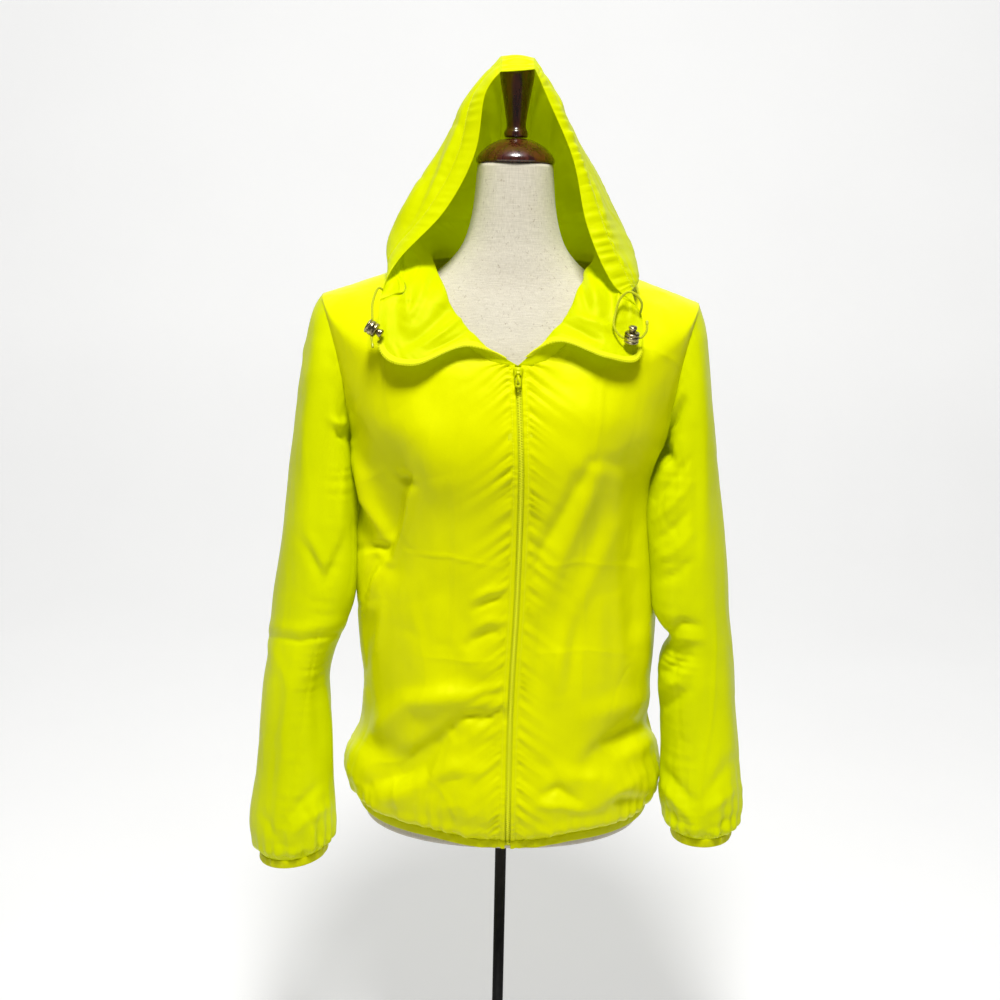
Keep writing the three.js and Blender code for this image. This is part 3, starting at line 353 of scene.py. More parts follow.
def black_iron():
    iron = Finish("black_iron", Metallic=0.6, Roughness=0.4)
    wear = iron.noise(120, detail=5)
    iron.feed("Base Color", iron.blend(wear, (0.010, 0.010, 0.011), (0.030, 0.029, 0.028)))
    iron.feed("Roughness", 0.3 + 0.25 * wear)
    iron.bump(iron.noise(600), 0.00008, 0.5)
    return iron.material


linen_cover, wood_polish, iron_paint = flecked_linen(), polished_wood(), black_iron()
print("finishes in all:", len(bpy.data.materials))

# %% [markdown]
# ## Curves through short tables
# A pattern cutter knows a garment by a few levels: hem, waist, chest, armhole, neck. Each table
# below has a row per level and a named column per size, and a smooth curve runs through every
# column, so a handful of rows gives a surface as fine as is wanted. Sizes are in millimetres here,
# as a tailor would write them, and turn to metres only when a mesh is made.

# %% Smooth curve through a table
def weights(at, count):
    """The four rows on each side of a fractional row, and what each adds to a smooth curve."""
    at = np.asarray(at, float)
    low = np.clip(np.floor(at).astype(int), 0, count - 2)
    t = at - low
    rows = np.clip(np.stack([low - 1, low, low + 1, low + 2]), 0, count - 1)
    share = 0.5 * np.stack([
        -t + 2 * t**2 - t**3,
        2 - 5 * t**2 + 3 * t**3,
        t + 4 * t**2 - 3 * t**3,
        -(t**2) + t**3,
    ])
    return rows, share


class Table:
    """Rows of numbers with named columns. Calling it reads a column at any fractional row."""

    def __init__(self, names, rows):
        self.names, self.rows = names.split(), np.array(rows, float)

    def __len__(self):
        return len(self.rows)

    def __call__(self, name, at):
        rows, share = weights(at, len(self.rows))
        return (self.rows[rows, self.names.index(name)] * share).sum(0)


def points(x, y, z):
    """One array of points from three arrays of numbers."""
    return np.stack(np.broadcast_arrays(x, y, z), -1).astype(float)


# %% The body, a row per level from the hem to the neck
# zf and zb are heights at centre front and back, yf and yb depths, left and right half-widths, ys
# the side seam's depth, turn the degrees round the armhole, seam the share of the shoulder seam,
# sweep how far a level turns
BODY = Table("zf zb yf yb left right ys turn seam sweep", [
    [410, 416, -117, 117, 163, 165, 4, 180, 0, 90],
    [420, 426, -124, 124, 172, 174, 4, 180, 0, 90],
    [441, 446, -128, 129, 180, 181, 4, 180, 0, 90],
    [463, 466, -127, 128, 177, 178, 5, 180, 0, 90],
    [487, 489, -122, 123, 166, 170, 7, 180, 0, 90],
    [515, 516, -118, 118, 162, 164, 10, 180, 0, 90],
    [550, 550, -115, 115, 161, 165, 13, 180, 0, 90],
    [590, 590, -113, 112, 165, 168, 16, 180, 0, 90],
    [635, 635, -112, 106, 168, 169, 19, 180, 0, 90],
    [685, 685, -112, 101, 169, 166, 20, 180, 0, 90],
    [735, 735, -116, 99, 169, 161.5, 19, 180, 0, 90],
    [780, 782, -122, 100, 169, 157, 15, 180, 0, 90],
    [812, 816, -126, 103, 170, 162, 8, 180, 0, 90],
    [836, 842, -127, 106, 172, 172, 2, 180, 0, 88],
    [853, 862, -126, 108, 172, 172, 2, 150, 0, 76],
    [869, 885, -123, 108, 172, 172, 2, 122, 0, 68],
    [883, 912, -120, 106, 172, 172, 2, 94, 0, 66],
    [894, 940, -117, 102, 172, 172, 2, 64, 0, 68],
    [902, 965, -115, 96, 172, 172, 2, 32, 0, 78],
    [907, 984, -113.5, 90, 172, 172, 2, 0, 0, 90],
    [910, 998, -112.5, 86, 172, 172, 2, 0, 0.36, 90],
    [912, 1008, -112, 83, 172, 172, 2, 0, 0.7, 90],
    [914, 1016, -111.5, 80, 172, 172, 2, 0, 1, 90],
])
UNDERARM_ROW, TIP_ROW, NECK_ROW = 13, 19, len(BODY) - 1
NECK_POINT = np.array([88.0, 12.0, 1013.0])
PLAN_FULLNESS, SLOPE_FULLNESS = 0.86, 1.5
HALF_WIDTH, HALF_DEPTH = 165, 118
FOLDS_FROM, FOLDS_FULL = 412, 30
SIGN = {"left": -1, "right": 1}
ZIP_HEIGHTS = np.array([397, 458, 568, 674, 802, 889, 914])
ZIP_LINE = Table("x", [[6.5], [5.8], [6.6], [10.5], [11.5], [7.5], [6]])


def zip_x(z):
    step = np.clip(np.searchsorted(ZIP_HEIGHTS, z, side="left") - 1, 0, len(ZIP_HEIGHTS) - 2)
    low, high = ZIP_HEIGHTS[step], ZIP_HEIGHTS[step + 1]
    return ZIP_LINE("x", step + np.clip((z - low) / (high - low), 0, 1))


# %% The sleeves, a row per section from the armhole to the cuff
# out and outZ are the outermost point, into and inZ the innermost at the depth inY, mid and midZ
# the front and back, y the centre of the depth and deep half of it
SLEEVES = {
    "left": Table("out outZ into inZ inY mid midZ y deep", [
        [201.5, 975, 173, 836, 2, 176, 900, 2, 60],
        [211.5, 959, 175.5, 826, 0, 184, 886, 2, 62],
        [218.5, 926, 173.5, 814, -6, 190, 864, 1, 63],
        [226, 880, 170.5, 796, -14, 196, 836, 0, 62],
        [234, 825, 168, 770, -22, 201, 800, -2, 60],
        [242, 765, 166.8, 738, -27, 205, 752, -4, 59],
        [249, 706, 166.8, 700, -30, 210, 703, -7, 58],
        [256, 654, 167.5, 654, -30, 214, 654, -10, 57],
        [260, 617, 177, 617, -28, 219, 617, -14, 56],
        [263, 588, 188, 588, -24, 225, 588, -18, 56],
        [267, 556, 195, 556, -24, 231, 556, -22, 56],
        [270, 520, 193, 520, -28, 231, 520, -28, 54],
        [273, 483, 191, 483, -34, 232, 483, -34, 52],
        [276, 440, 190, 440, -41, 233, 440, -41, 50],
        [280, 407, 187, 409, -47, 233, 408, -47, 48],
        [279, 384, 187, 390, -50, 233, 387, -50, 44],
        [270, 361, 196, 370, -52, 232, 365, -52, 36],
    ]),
    "right": Table("out outZ into inZ inY mid midZ y deep", [
        [197.5, 973, 173, 838, 2, 174, 902, 2, 58],
        [203.5, 952, 175, 828, 0, 181, 888, 2, 60],
        [209, 918, 172, 816, -6, 187, 866, 1, 61],
        [216, 876, 165.5, 798, -14, 191, 838, 0, 61],
        [224, 826, 158, 772, -22, 194, 800, -2, 60],
        [233, 768, 158, 742, -27, 198, 756, -4, 59],
        [240, 706, 164.5, 700, -30, 204, 703, -7, 58],
        [246, 648, 168.5, 645, -30, 210, 647, -10, 56],
        [250, 611, 184, 611, -28, 217, 611, -14, 54],
        [253, 588, 177, 588, -24, 215, 588, -17, 55],
        [255, 565, 174, 565, -24, 214, 565, -21, 55],
        [258, 530, 179, 530, -28, 218, 530, -26, 53],
        [262, 489, 184, 489, -34, 223, 489, -33, 51],
        [266, 451, 183, 451, -41, 224, 451, -40, 49],
        [268, 428, 181, 426, -47, 224, 427, -45, 47],
        [264, 413, 183, 410, -50, 224, 412, -48, 43],
        [256, 400, 191, 397, -52, 224, 399, -50, 36],
    ]),
}
CUFF_ROW = len(SLEEVES["left"]) - 1


def sleeve_point(side, row, turn):
    get = lambda name: SLEEVES[side](name, row)
    c, s = np.cos(turn), np.sin(turn)

    def across(outer, inner, middle):
        centre = (outer + inner) / 2
        return centre + (outer - inner) / 2 * c + (middle - centre) * s * s

    return points(
        SIGN[side] * across(get("out"), get("into"), get("mid")),
        get("y") - get("deep") * s + (get("inY") - get("y")) * (1 - c) ** 2 / 4,
        across(get("outZ"), get("inZ"), get("midZ")),
    )


# %% Fronts and back
def row_end(side, face, row):
    """The outer end of a level: side seam, then armhole, then shoulder seam."""
    row = np.asarray(row, float)
    start = 0 * row
    seam = points(
        SIGN[side] * BODY(side, row), BODY("ys", row), (BODY("zf", row) + BODY("zb", row)) / 2
    )
    under = sleeve_point(side, start, np.pi + start)
    near_arm = np.clip(row - UNDERARM_ROW + 1, 0, 1)[..., None]
    turn = np.radians(BODY("turn", row)) * (1 if face == "front" else -1)
    tip = sleeve_point(side, start, start)
    neck = NECK_POINT * [SIGN[side], 1, 1]
    shoulder = tip + (neck - tip) * BODY("seam", row)[..., None]
    at = row[..., None]
    return np.where(
        at <= UNDERARM_ROW,
        seam + (under - seam) * near_arm,
        np.where(at <= TIP_ROW, sleeve_point(side, start, turn), shoulder),
    )


# Large folds: face, from x and z, to x and z, width, rise (below 0 for a trough)
BODY_FOLDS = [
    ("front", -78, 838, -70, 822, 52, 9),
    ("front", 84, 838, 76, 822, 52, 9),
    ("front", -118, 800, -128, 700, 20, -7),
    ("front", -150, 790, -148, 650, 16, 5),
    ("front", 128, 830, 138, 640, 20, -5),
    ("front", -150, 500, -95, 480, 20, -6),
    ("front", -60, 560, -30, 450, 24, 4),
    ("front", 60, 600, 110, 470, 26, 5),
    ("front", 130, 500, 90, 485, 18, -5),
    ("back", -60, 900, -70, 620, 34, 6),
    ("back", 66, 880, 52, 600, 34, 6),
    ("back", 0, 700, 8, 480, 30, -5),
    ("back", 120, 640, 110, 470, 24, 5),
    ("back", -120, 660, -124, 470, 24, 5),
]


def away_from(x, z, x1, z1, x2, z2):
    """How far each point of a plane is from a line between two others."""
    dx, dz = x2 - x1, z2 - z1
    t = np.clip(((x - x1) * dx + (z - z1) * dz) / (dx * dx + dz * dz), 0, 1)
    return np.hypot(x - x1 - t * dx, z - z1 - t * dz)


def body_point(side, face, row, share):
    """A point of the front or back: share runs from the centre, 0, to the side, 1."""
    front = face == "front"
    row, share = np.broadcast_arrays(np.asarray(row, float), np.asarray(share, float))
    z_centre, y_centre = BODY("zf" if front else "zb", row), BODY("yf" if front else "yb", row)
    end = row_end(side, face, row)
    sweep = np.radians(BODY("sweep", row))
    a = share * sweep
    bend = lambda angle, power: np.maximum(0, np.cos(angle)) ** power
    across = (np.maximum(0, np.sin(a)) / np.sin(sweep)) ** PLAN_FULLNESS
    end_bend = bend(sweep, PLAN_FULLNESS)
    deep = (bend(a, PLAN_FULLNESS) - end_bend) / (1 - end_bend)
    rise = (1 - bend(a, SLOPE_FULLNESS)) / (1 - bend(sweep, SLOPE_FULLNESS))
    start = zip_x(z_centre) if front else 0 * z_centre
    p = points(
        start + (end[..., 0] - start) * across,
        end[..., 1] + (y_centre - end[..., 1]) * deep,
        z_centre + (end[..., 2] - z_centre) * rise,
    )
    x, y, z = p[..., 0], p[..., 1], p[..., 2]
    lift = sum(
        high * np.exp(-((away_from(x, z, x1, z1, x2, z2) / wide) ** 2))
        for where, x1, z1, x2, z2, wide, high in BODY_FOLDS
        if where == face
    )
    lift = lift * (1 - share**6) * np.clip((z - FOLDS_FROM) / FOLDS_FULL, 0, 1)
    lift = lift * np.clip((NECK_ROW - row) / 4, 0, 1)
    outward = points(x / HALF_WIDTH**2, y / HALF_DEPTH**2, 0 * x)
    outward /= np.maximum(1e-9, np.linalg.norm(outward, axis=-1, keepdims=True))
    return p + outward * lift[..., None]


SHOULDER_SHARE = 0.6


def neckline(side, share):
    """The neckline, from the zip (0) over the shoulder point to centre back (1)."""
    share = np.asarray(share, float)
    front = body_point(side, "front", NECK_ROW, np.clip(share / SHOULDER_SHARE, 0, 1))
    back = body_point(side, "back", NECK_ROW, np.clip((1 - share) / (1 - SHOULDER_SHARE), 0, 1))
    return np.where(share[..., None] <= SHOULDER_SHARE, front, back)


print("chest:", round(float(BODY("left", 12) + BODY("right", 12))), "mm across at the underarm")

# %% [markdown]
# ## Collar and hood
# They are drawn as one net of ribs. Each rib climbs from the neckline over the folded collar, to
# the hood's seam, up the hood and to its crown. The first rib is the free front edge, and the last
# lies beside the gusset at the back of the head.

# %% The ribs: place on the neckline, then [out, depth, height] at each station
SEAM_STATION, CROWN_STATION = 4, 9
RIBS = {
    "left": [
        (0.0, [[42, -114, 934], [94, -125, 916], [127, -112, 926], [132, -88, 973],
         [116, -69, 1012], [70, -60, 1062], [41, -53, 1118], [32, -48, 1174], [17, -46, 1197]]),
        (0.09, [[40, -106, 942], [86, -115, 934], [112, -104, 942], [119, -84, 979],
         [125, -52, 1016], [89, -50, 1064], [58, -44, 1118], [43, -36, 1172], [17, -28, 1209]]),
        (0.24, [[56, -90, 960], [80, -101, 957], [100, -96, 962], [108, -82, 984],
         [131, -30, 1022], [111, -26, 1071], [78, -18, 1124], [50, -18, 1176], [17, -10, 1216]]),
        (0.42, [[70, -70, 988], [86, -72, 990], [100, -66, 996], [112, -54, 1004],
         [129, 2, 1034], [108, 8, 1078], [79, 12, 1126], [48, 8, 1176], [17, 10, 1217]]),
        (0.62, [[86, 16, 1020], [92, 18, 1028], [100, 22, 1036], [110, 28, 1044],
         [114, 48, 1060], [98, 52, 1092], [72, 50, 1130], [44, 42, 1168], [17, 40, 1202]]),
        (0.82, [[58, 74, 1026], [62, 80, 1036], [68, 87, 1046], [76, 94, 1054],
         [80, 110, 1066], [68, 112, 1088], [52, 104, 1112], [34, 94, 1132], [17, 88, 1148]]),
        (0.93, [[20, 88, 1026], [19, 95, 1036], [18, 103, 1046], [17, 112, 1053],
         [17, 125, 1058], [17, 134, 1066], [17, 138, 1077], [17, 137, 1088], [17, 132, 1100]]),
    ],
    "right": [
        (0.0, [[42, -114, 940], [90, -124, 927], [123, -109, 925], [127, -90, 966],
         [97, -82, 996], [72, -69, 1050], [57, -55, 1114], [31, -48, 1171], [17, -46, 1200]]),
        (0.09, [[40, -106, 948], [82, -114, 942], [110, -102, 941], [117, -86, 976],
         [114, -72, 1000], [90, -58, 1054], [66, -44, 1116], [40, -36, 1172], [17, -28, 1210]]),
        (0.24, [[55, -92, 965], [76, -100, 964], [97, -94, 964], [106, -84, 984],
         [129, -45, 1002], [103, -20, 1056], [72, -14, 1112], [44, -18, 1176], [17, -10, 1215]]),
        (0.42, [[66, -68, 992], [82, -70, 994], [96, -64, 998], [110, -50, 1004],
         [124, 2, 1028], [101, 8, 1072], [74, 10, 1122], [45, 8, 1176], [17, 10, 1216]]),
        (0.62, [[86, 16, 1020], [92, 18, 1028], [99, 22, 1036], [108, 28, 1044],
         [111, 48, 1060], [95, 52, 1092], [70, 50, 1130], [43, 42, 1168], [17, 40, 1201]]),
        (0.82, [[58, 74, 1026], [62, 80, 1036], [68, 87, 1046], [76, 94, 1054],
         [80, 110, 1066], [68, 112, 1088], [52, 104, 1112], [34, 94, 1132], [17, 88, 1148]]),
        (0.93, [[20, 88, 1026], [19, 95, 1036], [18, 103, 1046], [17, 112, 1053],
         [17, 125, 1058], [17, 134, 1066], [17, 138, 1077], [17, 137, 1088], [17, 132, 1100]]),
    ],
}
LAST_RIB = 6


def rib_rows(side):
    return [
        [neckline(side, root), *(np.array(p, float) * [SIGN[side], 1, 1] for p in stations)]
        for root, stations in RIBS[side]
    ]


NET = np.array([*rib_rows("left"), *rib_rows("right")[::-1]])
RIB_END = len(NET) - 1
ROOTS = {side: Table("root", [[r] for r, _ in RIBS[side]] + [[1.07]]) for side in RIBS}


def net_point(rib, station):
    """A point of the collar and hood, from the left free edge (rib 0) to the right one."""
    rib, station = np.broadcast_arrays(np.asarray(rib, float), np.asarray(station, float))

    def plain(station):
        ribs, rib_share = weights(rib, len(NET))
        steps, step_share = weights(station, NET.shape[1])
        spots = NET[ribs[:, None], steps[None]]
        return (spots * (rib_share[:, None] * step_share[None])[..., None]).sum((0, 1))

    side_share = np.minimum(rib, RIB_END - rib)
    roots = [neckline(s, np.minimum(1, ROOTS[s]("root", side_share))) for s in ("left", "right")]
    root = np.where((rib <= RIB_END / 2)[..., None], *roots)
    ease = (np.clip(1 - station, 0, 1) ** 2)[..., None]
    return plain(station) + (root - plain(0 * station)) * ease


def hood_point(side, rib, station):
    return net_point(rib if side == "left" else RIB_END - rib, station)


print("ribs in the net:", len(NET), "with", NET.shape[1], "stations each")

# %% [markdown]
# ## From a grid of points to a piece of cloth
# A sewn panel is a grid of points. These helpers measure along the grid, find which way it faces,
# push it in or out, and close it into a thin shell. The cloth is half a millimetre thick here,
# thinner than its solid in the frame, so neighbouring panels can share a seam without touching.

# %% Grids and meshes
MM = 0.001
CLOTH = 0.5  # millimetres


def grid(columns, rows):
    return np.meshgrid(np.linspace(0, 1, columns + 1), np.linspace(0, 1, rows + 1))


def facing(p, closed=False):
    """The direction that each point of a grid faces."""
    if closed:
        wrapped = np.concatenate([p[:, -1:], p, p[:, :1]], 1)
        across = (wrapped[:, 2:] - wrapped[:, :-2])
    else:
        across = np.gradient(p, axis=1)
    n = np.cross(across, np.gradient(p, axis=0))
    return n / np.maximum(1e-9, np.linalg.norm(n, axis=-1, keepdims=True))


def outward(p, centre, closed=False):
    """The same, turned away from a point or a line of points inside the piece."""
    n = facing(p, closed)
    return n if ((p - centre) * n).sum() > 0 else -n


def run(p, axis=1):
    """The distance walked along a grid, from its first edge."""
    step = np.linalg.norm(np.diff(p, axis=axis), axis=-1)
    first = np.zeros_like(np.take(step, [0], axis=axis))
    return np.concatenate([first, np.cumsum(step, axis=axis)], axis=axis)


def mesh_object(name, vertices, faces, finish, smooth=True):
    """A mesh from millimetres, in metres, with one finish."""
    mesh = bpy.data.meshes.new(name)
    mesh.from_pydata((np.asarray(vertices, float) * MM).tolist(), [], faces)
    mesh.polygons.foreach_set("use_smooth", [smooth] * len(mesh.polygons))
    mesh.materials.append(finish)
    piece = bpy.data.objects.new(name, mesh)
    bpy.context.scene.collection.objects.link(piece)
    return piece


def grid_faces(wide, tall, closed=False, flip=False):
    columns = wide if closed else wide - 1
    faces = []
    for j in range(tall - 1):
        for i in range(columns):
            k = (i + 1) % wide
            quad = (i + wide * j, k + wide * j, k + wide * (j + 1), i + wide * (j + 1))
            faces.append(quad[::-1] if flip else quad)
    return faces


def settle(piece, replaces=(), body="form"):
    """Every piece rides on a body, and stands for its solids."""
    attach(piece, body)
    if replaces:
        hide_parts(*replaces)
    return piece


def shell(name, p, finish, closed=False, flip=False, thick=CLOTH, replaces=()):
    """A grid of points as thin cloth, with an even thickness about the grid."""
    tall, wide = p.shape[:2]
    piece = mesh_object(name, p.reshape(-1, 3), grid_faces(wide, tall, closed, flip), finish)
    solid = piece.modifiers.new("thickness", "SOLIDIFY")
    solid.thickness, solid.offset = thick * MM, 0
    settle(piece, replaces)
    print(f"{name}: {len(piece.data.polygons)} faces, area {area(piece):.4f} m2")
    return piece


def area(piece):
    return sum(face.area for face in piece.data.polygons)


# %% [markdown]
# ## How thin nylon creases
# Three things crease it. Packing leaves faint sharp lines that wander. Sewing shrinks the seam, so
# the cloth beside it ripples. Elastic gathers it into upright pleats that fade away from the edge.
# Each is a number in millimetres at every point, and they are added up.

# %% Creases
def hashed(i, seed):
    """A repeatable random number from -1 to 1 for each whole-number place."""
    i = i.astype(np.int64)
    h = (i[..., 0] * 73856093) ^ (i[..., 1] * 19349663) ^ (i[..., 2] * 83492791) ^ (seed * 2654435)
    h = (h & 0xFFFFFFFF) ^ ((h & 0xFFFFFFFF) >> 13)
    h = (h * 1274126177) & 0xFFFFFFFF
    return ((h ^ (h >> 16)) & 0xFFFF) / 32767.5 - 1


def cloud(p, size, seed):
    """Smooth noise from -1 to 1, with lumps about size millimetres across."""
    q = p / size + seed * 7.31
    whole = np.floor(q)
    f = q - whole
    f = f * f * f * (f * (f * 6 - 15) + 10)
    total = 0
    for corner in np.ndindex(2, 2, 2):
        share = np.prod(np.where(corner, f, 1 - f), axis=-1)
        total = total + share * hashed(whole + corner, seed)
    return total


def packed(p, seed, hang=0.5):
    """Faint wandering fold lines and soft swells, longer along the hang of the cloth."""
    q = p * [1, 1, hang]
    q = q + 14 * np.stack([cloud(q, 48, seed + k) for k in (1, 2, 3)], -1)
    lines = np.exp(-((cloud(q, 64, seed + 4) / 0.07) ** 2)) * np.clip(cloud(q, 80, seed + 5) + 0.4, 0, 1)
    finer = np.exp(-((cloud(q, 30, seed + 6) / 0.10) ** 2)) * np.clip(cloud(q, 60, seed + 7) + 0.2, 0, 1)
    swell = cloud(q, 70, seed + 8) + 0.7 * cloud(q, 30, seed + 9) + 0.22 * cloud(q, 13, seed + 10)
    return 1.5 * swell + 1.3 * lines - 0.9 * finer


def ripple(s, wave, seed):
    """An uneven wave along a distance."""
    slow = np.sin(2 * np.pi * s / (wave * 4.3) + seed)
    return np.sin(2 * np.pi * s / wave + 1.9 * slow + seed) * (0.65 + 0.35 * np.sin(s / (wave * 1.7) + 2 * seed))


def pucker(away, s, height=0.6, wave=8, reach=8, seed=1):
    """Small ripples beside a seam, none on the seam itself."""
    return height * ripple(s, wave, seed) * np.exp(-away / reach) * (1 - np.exp(-((away / 1.6) ** 2)))


def gathers(away, s, height=2.2, wave=15, reach=45, seed=1):
    """Upright pleats above elastic that open out with distance."""
    near = 1 - np.exp(-((away / 5) ** 2))
    wide = ripple(s, wave, seed) * np.exp(-((away / reach) ** 1.2))
    fine = 0.55 * ripple(s, wave * 0.47, seed + 2) * np.exp(-away / (reach * 0.35))
    return height * (wide + fine) * near


def to_line(x, z, line):
    """How far points are from a line of several stretches, and how far along it they are."""
    best = along = None
    walked = 0.0
    for (x1, z1), (x2, z2) in zip(line, line[1:]):
        dx, dz = x2 - x1, z2 - z1
        long = math.hypot(dx, dz)
        t = np.clip(((x - x1) * dx + (z - z1) * dz) / long**2, 0, 1)
        away = np.hypot(x - x1 - t * dx, z - z1 - t * dz)
        if best is None:
            best, along = away, walked + t * long
        else:
            nearer = away < best
            best, along = np.where(nearer, away, best), np.where(nearer, walked + t * long, along)
        walked += long
    return best, along


def folds(spots, lines):
    """Listed folds: each is a line, its width and its rise, below 0 for a trough."""
    across, down = spots
    total = 0 * across
    for line, wide, rise in lines:
        away, along = to_line(across, down, line)
        long = sum(math.dist(a, b) for a, b in zip(line, line[1:]))
        ends = np.sin(np.pi * np.clip(along / long, 0.06, 0.94)) ** 0.5
        total = total + rise * ends * np.exp(-((away / wide) ** 2))
    return total


def fade(value, start, end):
    """0 at start, 1 at end, smooth between."""
    t = np.clip((value - start) / (end - start), 0, 1)
    return t * t * (3 - 2 * t)


# %% [markdown]
# ## The two fronts
# Each front is cut in one, from shoulder to hem. It hangs from the shoulder and the bust, is
# pulled in by the hem elastic and blouses over it, and its zip edge is folded back and stitched
# down, which makes the small ripples beside the zip.

# %% Fronts
BODY_COLUMNS, BODY_ROWS = 86, 330
EDGE_FOLD = 5.2  # width of the folded edge beside the zip
EDGE_OPENING = 3.0  # from the zip line to the folded edge
# Lines across and down the picture, then width and rise in millimetres
FRONT_FOLDS = {
    "left": [
        # the tuck that runs from the underarm to the waist
        ([(352, 444), (360, 475), (365, 500), (376, 522), (387, 541)], 5.5, 7),
        ([(349, 470), (355, 502), (364, 530), (371, 558)], 6, -6),
        ([(362, 548), (376, 547), (388, 552)], 5, -5),
        ([(389, 553), (381, 572), (369, 594)], 5, 5.5),
        ([(374, 560), (367, 578), (361, 604)], 5, -5),
        # under the bust
        ([(397, 475), (412, 483)], 6.5, -6.5),
        ([(415, 480), (406, 520), (392, 562)], 5, 5.5),
        ([(402, 490), (394, 525), (381, 562)], 9, -5.5),
        ([(372, 472), (384, 496), (382, 545)], 14, -6),
        ([(352, 400), (384, 420), (420, 446)], 20, 5),
        ([(404, 400), (432, 440), (440, 480)], 20, 5),
        # beside the zip
        ([(503, 588), (487, 592), (474, 599)], 4, 2.6),
        ([(503, 598), (488, 602), (474, 610)], 4, -3.4),
        ([(503, 621), (488, 621), (474, 629)], 5, 2.6),
        ([(503, 631), (486, 634), (468, 645)], 5, -3.6),
        ([(503, 684), (486, 688), (468, 694)], 4, 1.6),
        ([(503, 692), (485, 696), (468, 704)], 4, -2.4),
        ([(500, 738), (484, 744), (470, 754)], 5, -2.2),
        ([(498, 768), (482, 778), (472, 790)], 4, -1.8),
        ([(462, 655), (492, 674)], 12, 3),
        # the blouse over the hem elastic
        ([(503, 700), (455, 697), (410, 702), (378, 730), (360, 750)], 12, 8),
        ([(503, 717), (464, 718), (434, 744)], 7, -6),
        ([(450, 734), (424, 754), (394, 774), (366, 786)], 11, -12),
        ([(384, 802), (418, 786), (452, 768), (480, 772)], 9, 6),
        ([(366, 806), (380, 812), (400, 822)], 4, -4),
        ([(388, 772), (396, 795), (402, 820)], 1.8, 1.4),
        ([(437, 783), (448, 800), (458, 822)], 1.8, 1.4),
        ([(425, 760), (430, 790)], 6, -2),
        ([(470, 770), (476, 800), (480, 825)], 6, -2),
        ([(356, 786), (371, 803), (390, 817)], 4.5, 3.2),
        ([(360, 798), (378, 814)], 4.5, -3.4),
        # long soft hangs and packing creases
        ([(414, 596), (424, 640), (424, 692)], 22, 4),
        ([(375, 600), (368, 640), (366, 684)], 5, -2.8),
        ([(384, 605), (377, 650)], 4, 1.8),
        ([(448, 470), (450, 560), (446, 680)], 9, -1.8),
        ([(405, 552), (450, 557), (499, 567)], 1.7, 1.1),
        ([(420, 655), (470, 662), (500, 660)], 1.7, 0.8),
        ([(452, 440), (455, 560), (450, 700)], 1.7, 0.7),
    ],
    "right": [
        # from the bust down to the zip
        ([(592, 464), (566, 508), (545, 545), (530, 578)], 7.5, -4.5),
        ([(600, 474), (580, 515), (560, 560), (545, 604)], 9, 4.5),
        ([(608, 490), (602, 524), (586, 566)], 10, -2.8),
        ([(612, 530), (596, 566), (576, 612), (562, 655)], 9, 3.2),
        ([(600, 462), (622, 464), (646, 452)], 11, -3.5),
        ([(552, 405), (600, 420), (640, 428)], 22, 4.5),
        ([(566, 478), (590, 486)], 12, -2.5),
        ([(634, 480), (640, 520), (634, 560)], 8, -3),
        # long hangs
        ([(560, 640), (556, 700)], 7, 2.4),
        ([(577, 610), (571, 690)], 7, -3),
        ([(600, 590), (602, 680)], 9, 2.6),
        ([(632, 560), (636, 650)], 9, -3.6),
        ([(618, 600), (620, 690)], 8, 2.4),
        ([(540, 620), (536, 700)], 6, -2),
        # the blouse over the hem elastic
        ([(600, 750), (624, 736), (648, 722)], 10, -8),
        ([(590, 716), (620, 706), (650, 696)], 12, 5),
        ([(622, 758), (654, 738)], 10, 5.5),
        ([(612, 802), (648, 800)], 8, -6),
        ([(584, 764), (606, 748)], 9, -3),
        ([(560, 776), (604, 780)], 11, 6),
        ([(543, 796), (558, 789), (578, 801)], 5.5, -4.5),
        ([(538, 806), (562, 806), (586, 812)], 5, 3),
        ([(600, 806), (626, 790), (640, 776)], 6, 3),
        ([(530, 760), (548, 770), (560, 788)], 6, -2),
        # packing creases
        ([(530, 566), (580, 562), (640, 568)], 1.7, 0.9),
        ([(530, 655), (590, 650), (640, 656)], 1.7, 0.8),
        ([(580, 440), (584, 600), (580, 760)], 1.7, 0.7),
    ],
}


def hemline_run(p):
    """The distance along the hem for every column of a panel, the same all the way up."""
    return np.broadcast_to(run(p[:1], 1), p.shape[:2])


HEM_RISE = 6  # the hem's sides sit higher than its middle, and show the form's linen rim


def raise_hem(p):
    near = 1 - fade(run(p, 0), 0, 70)
    return p + points(0, 0, HEM_RISE * near * fade(np.abs(p[..., 0]), 20, 85))


def soften(p, rows, row, side_share, side_fade, reach=1.0, times=150):
    """Rounds off a panel across one level, where its curve turns too sharply for cloth."""
    near = np.exp(-(((rows - row) / reach) ** 2))
    near[0] = near[-1] = 0
    near = (near * fade(1 - side_share, *side_fade))[..., None]
    for _ in range(times):
        blurred = p.copy()
        blurred[1:-1] = (p[:-2] + p[2:]) / 2
        p = p + (blurred - p) * near
    return p


def from_neighbours(p):
    """How far each point is from each edge of its panel: first, last, bottom and top."""
    across, up = run(p, 1), run(p, 0)
    return across, across[:, -1:] - across, up, up[-1:] - up


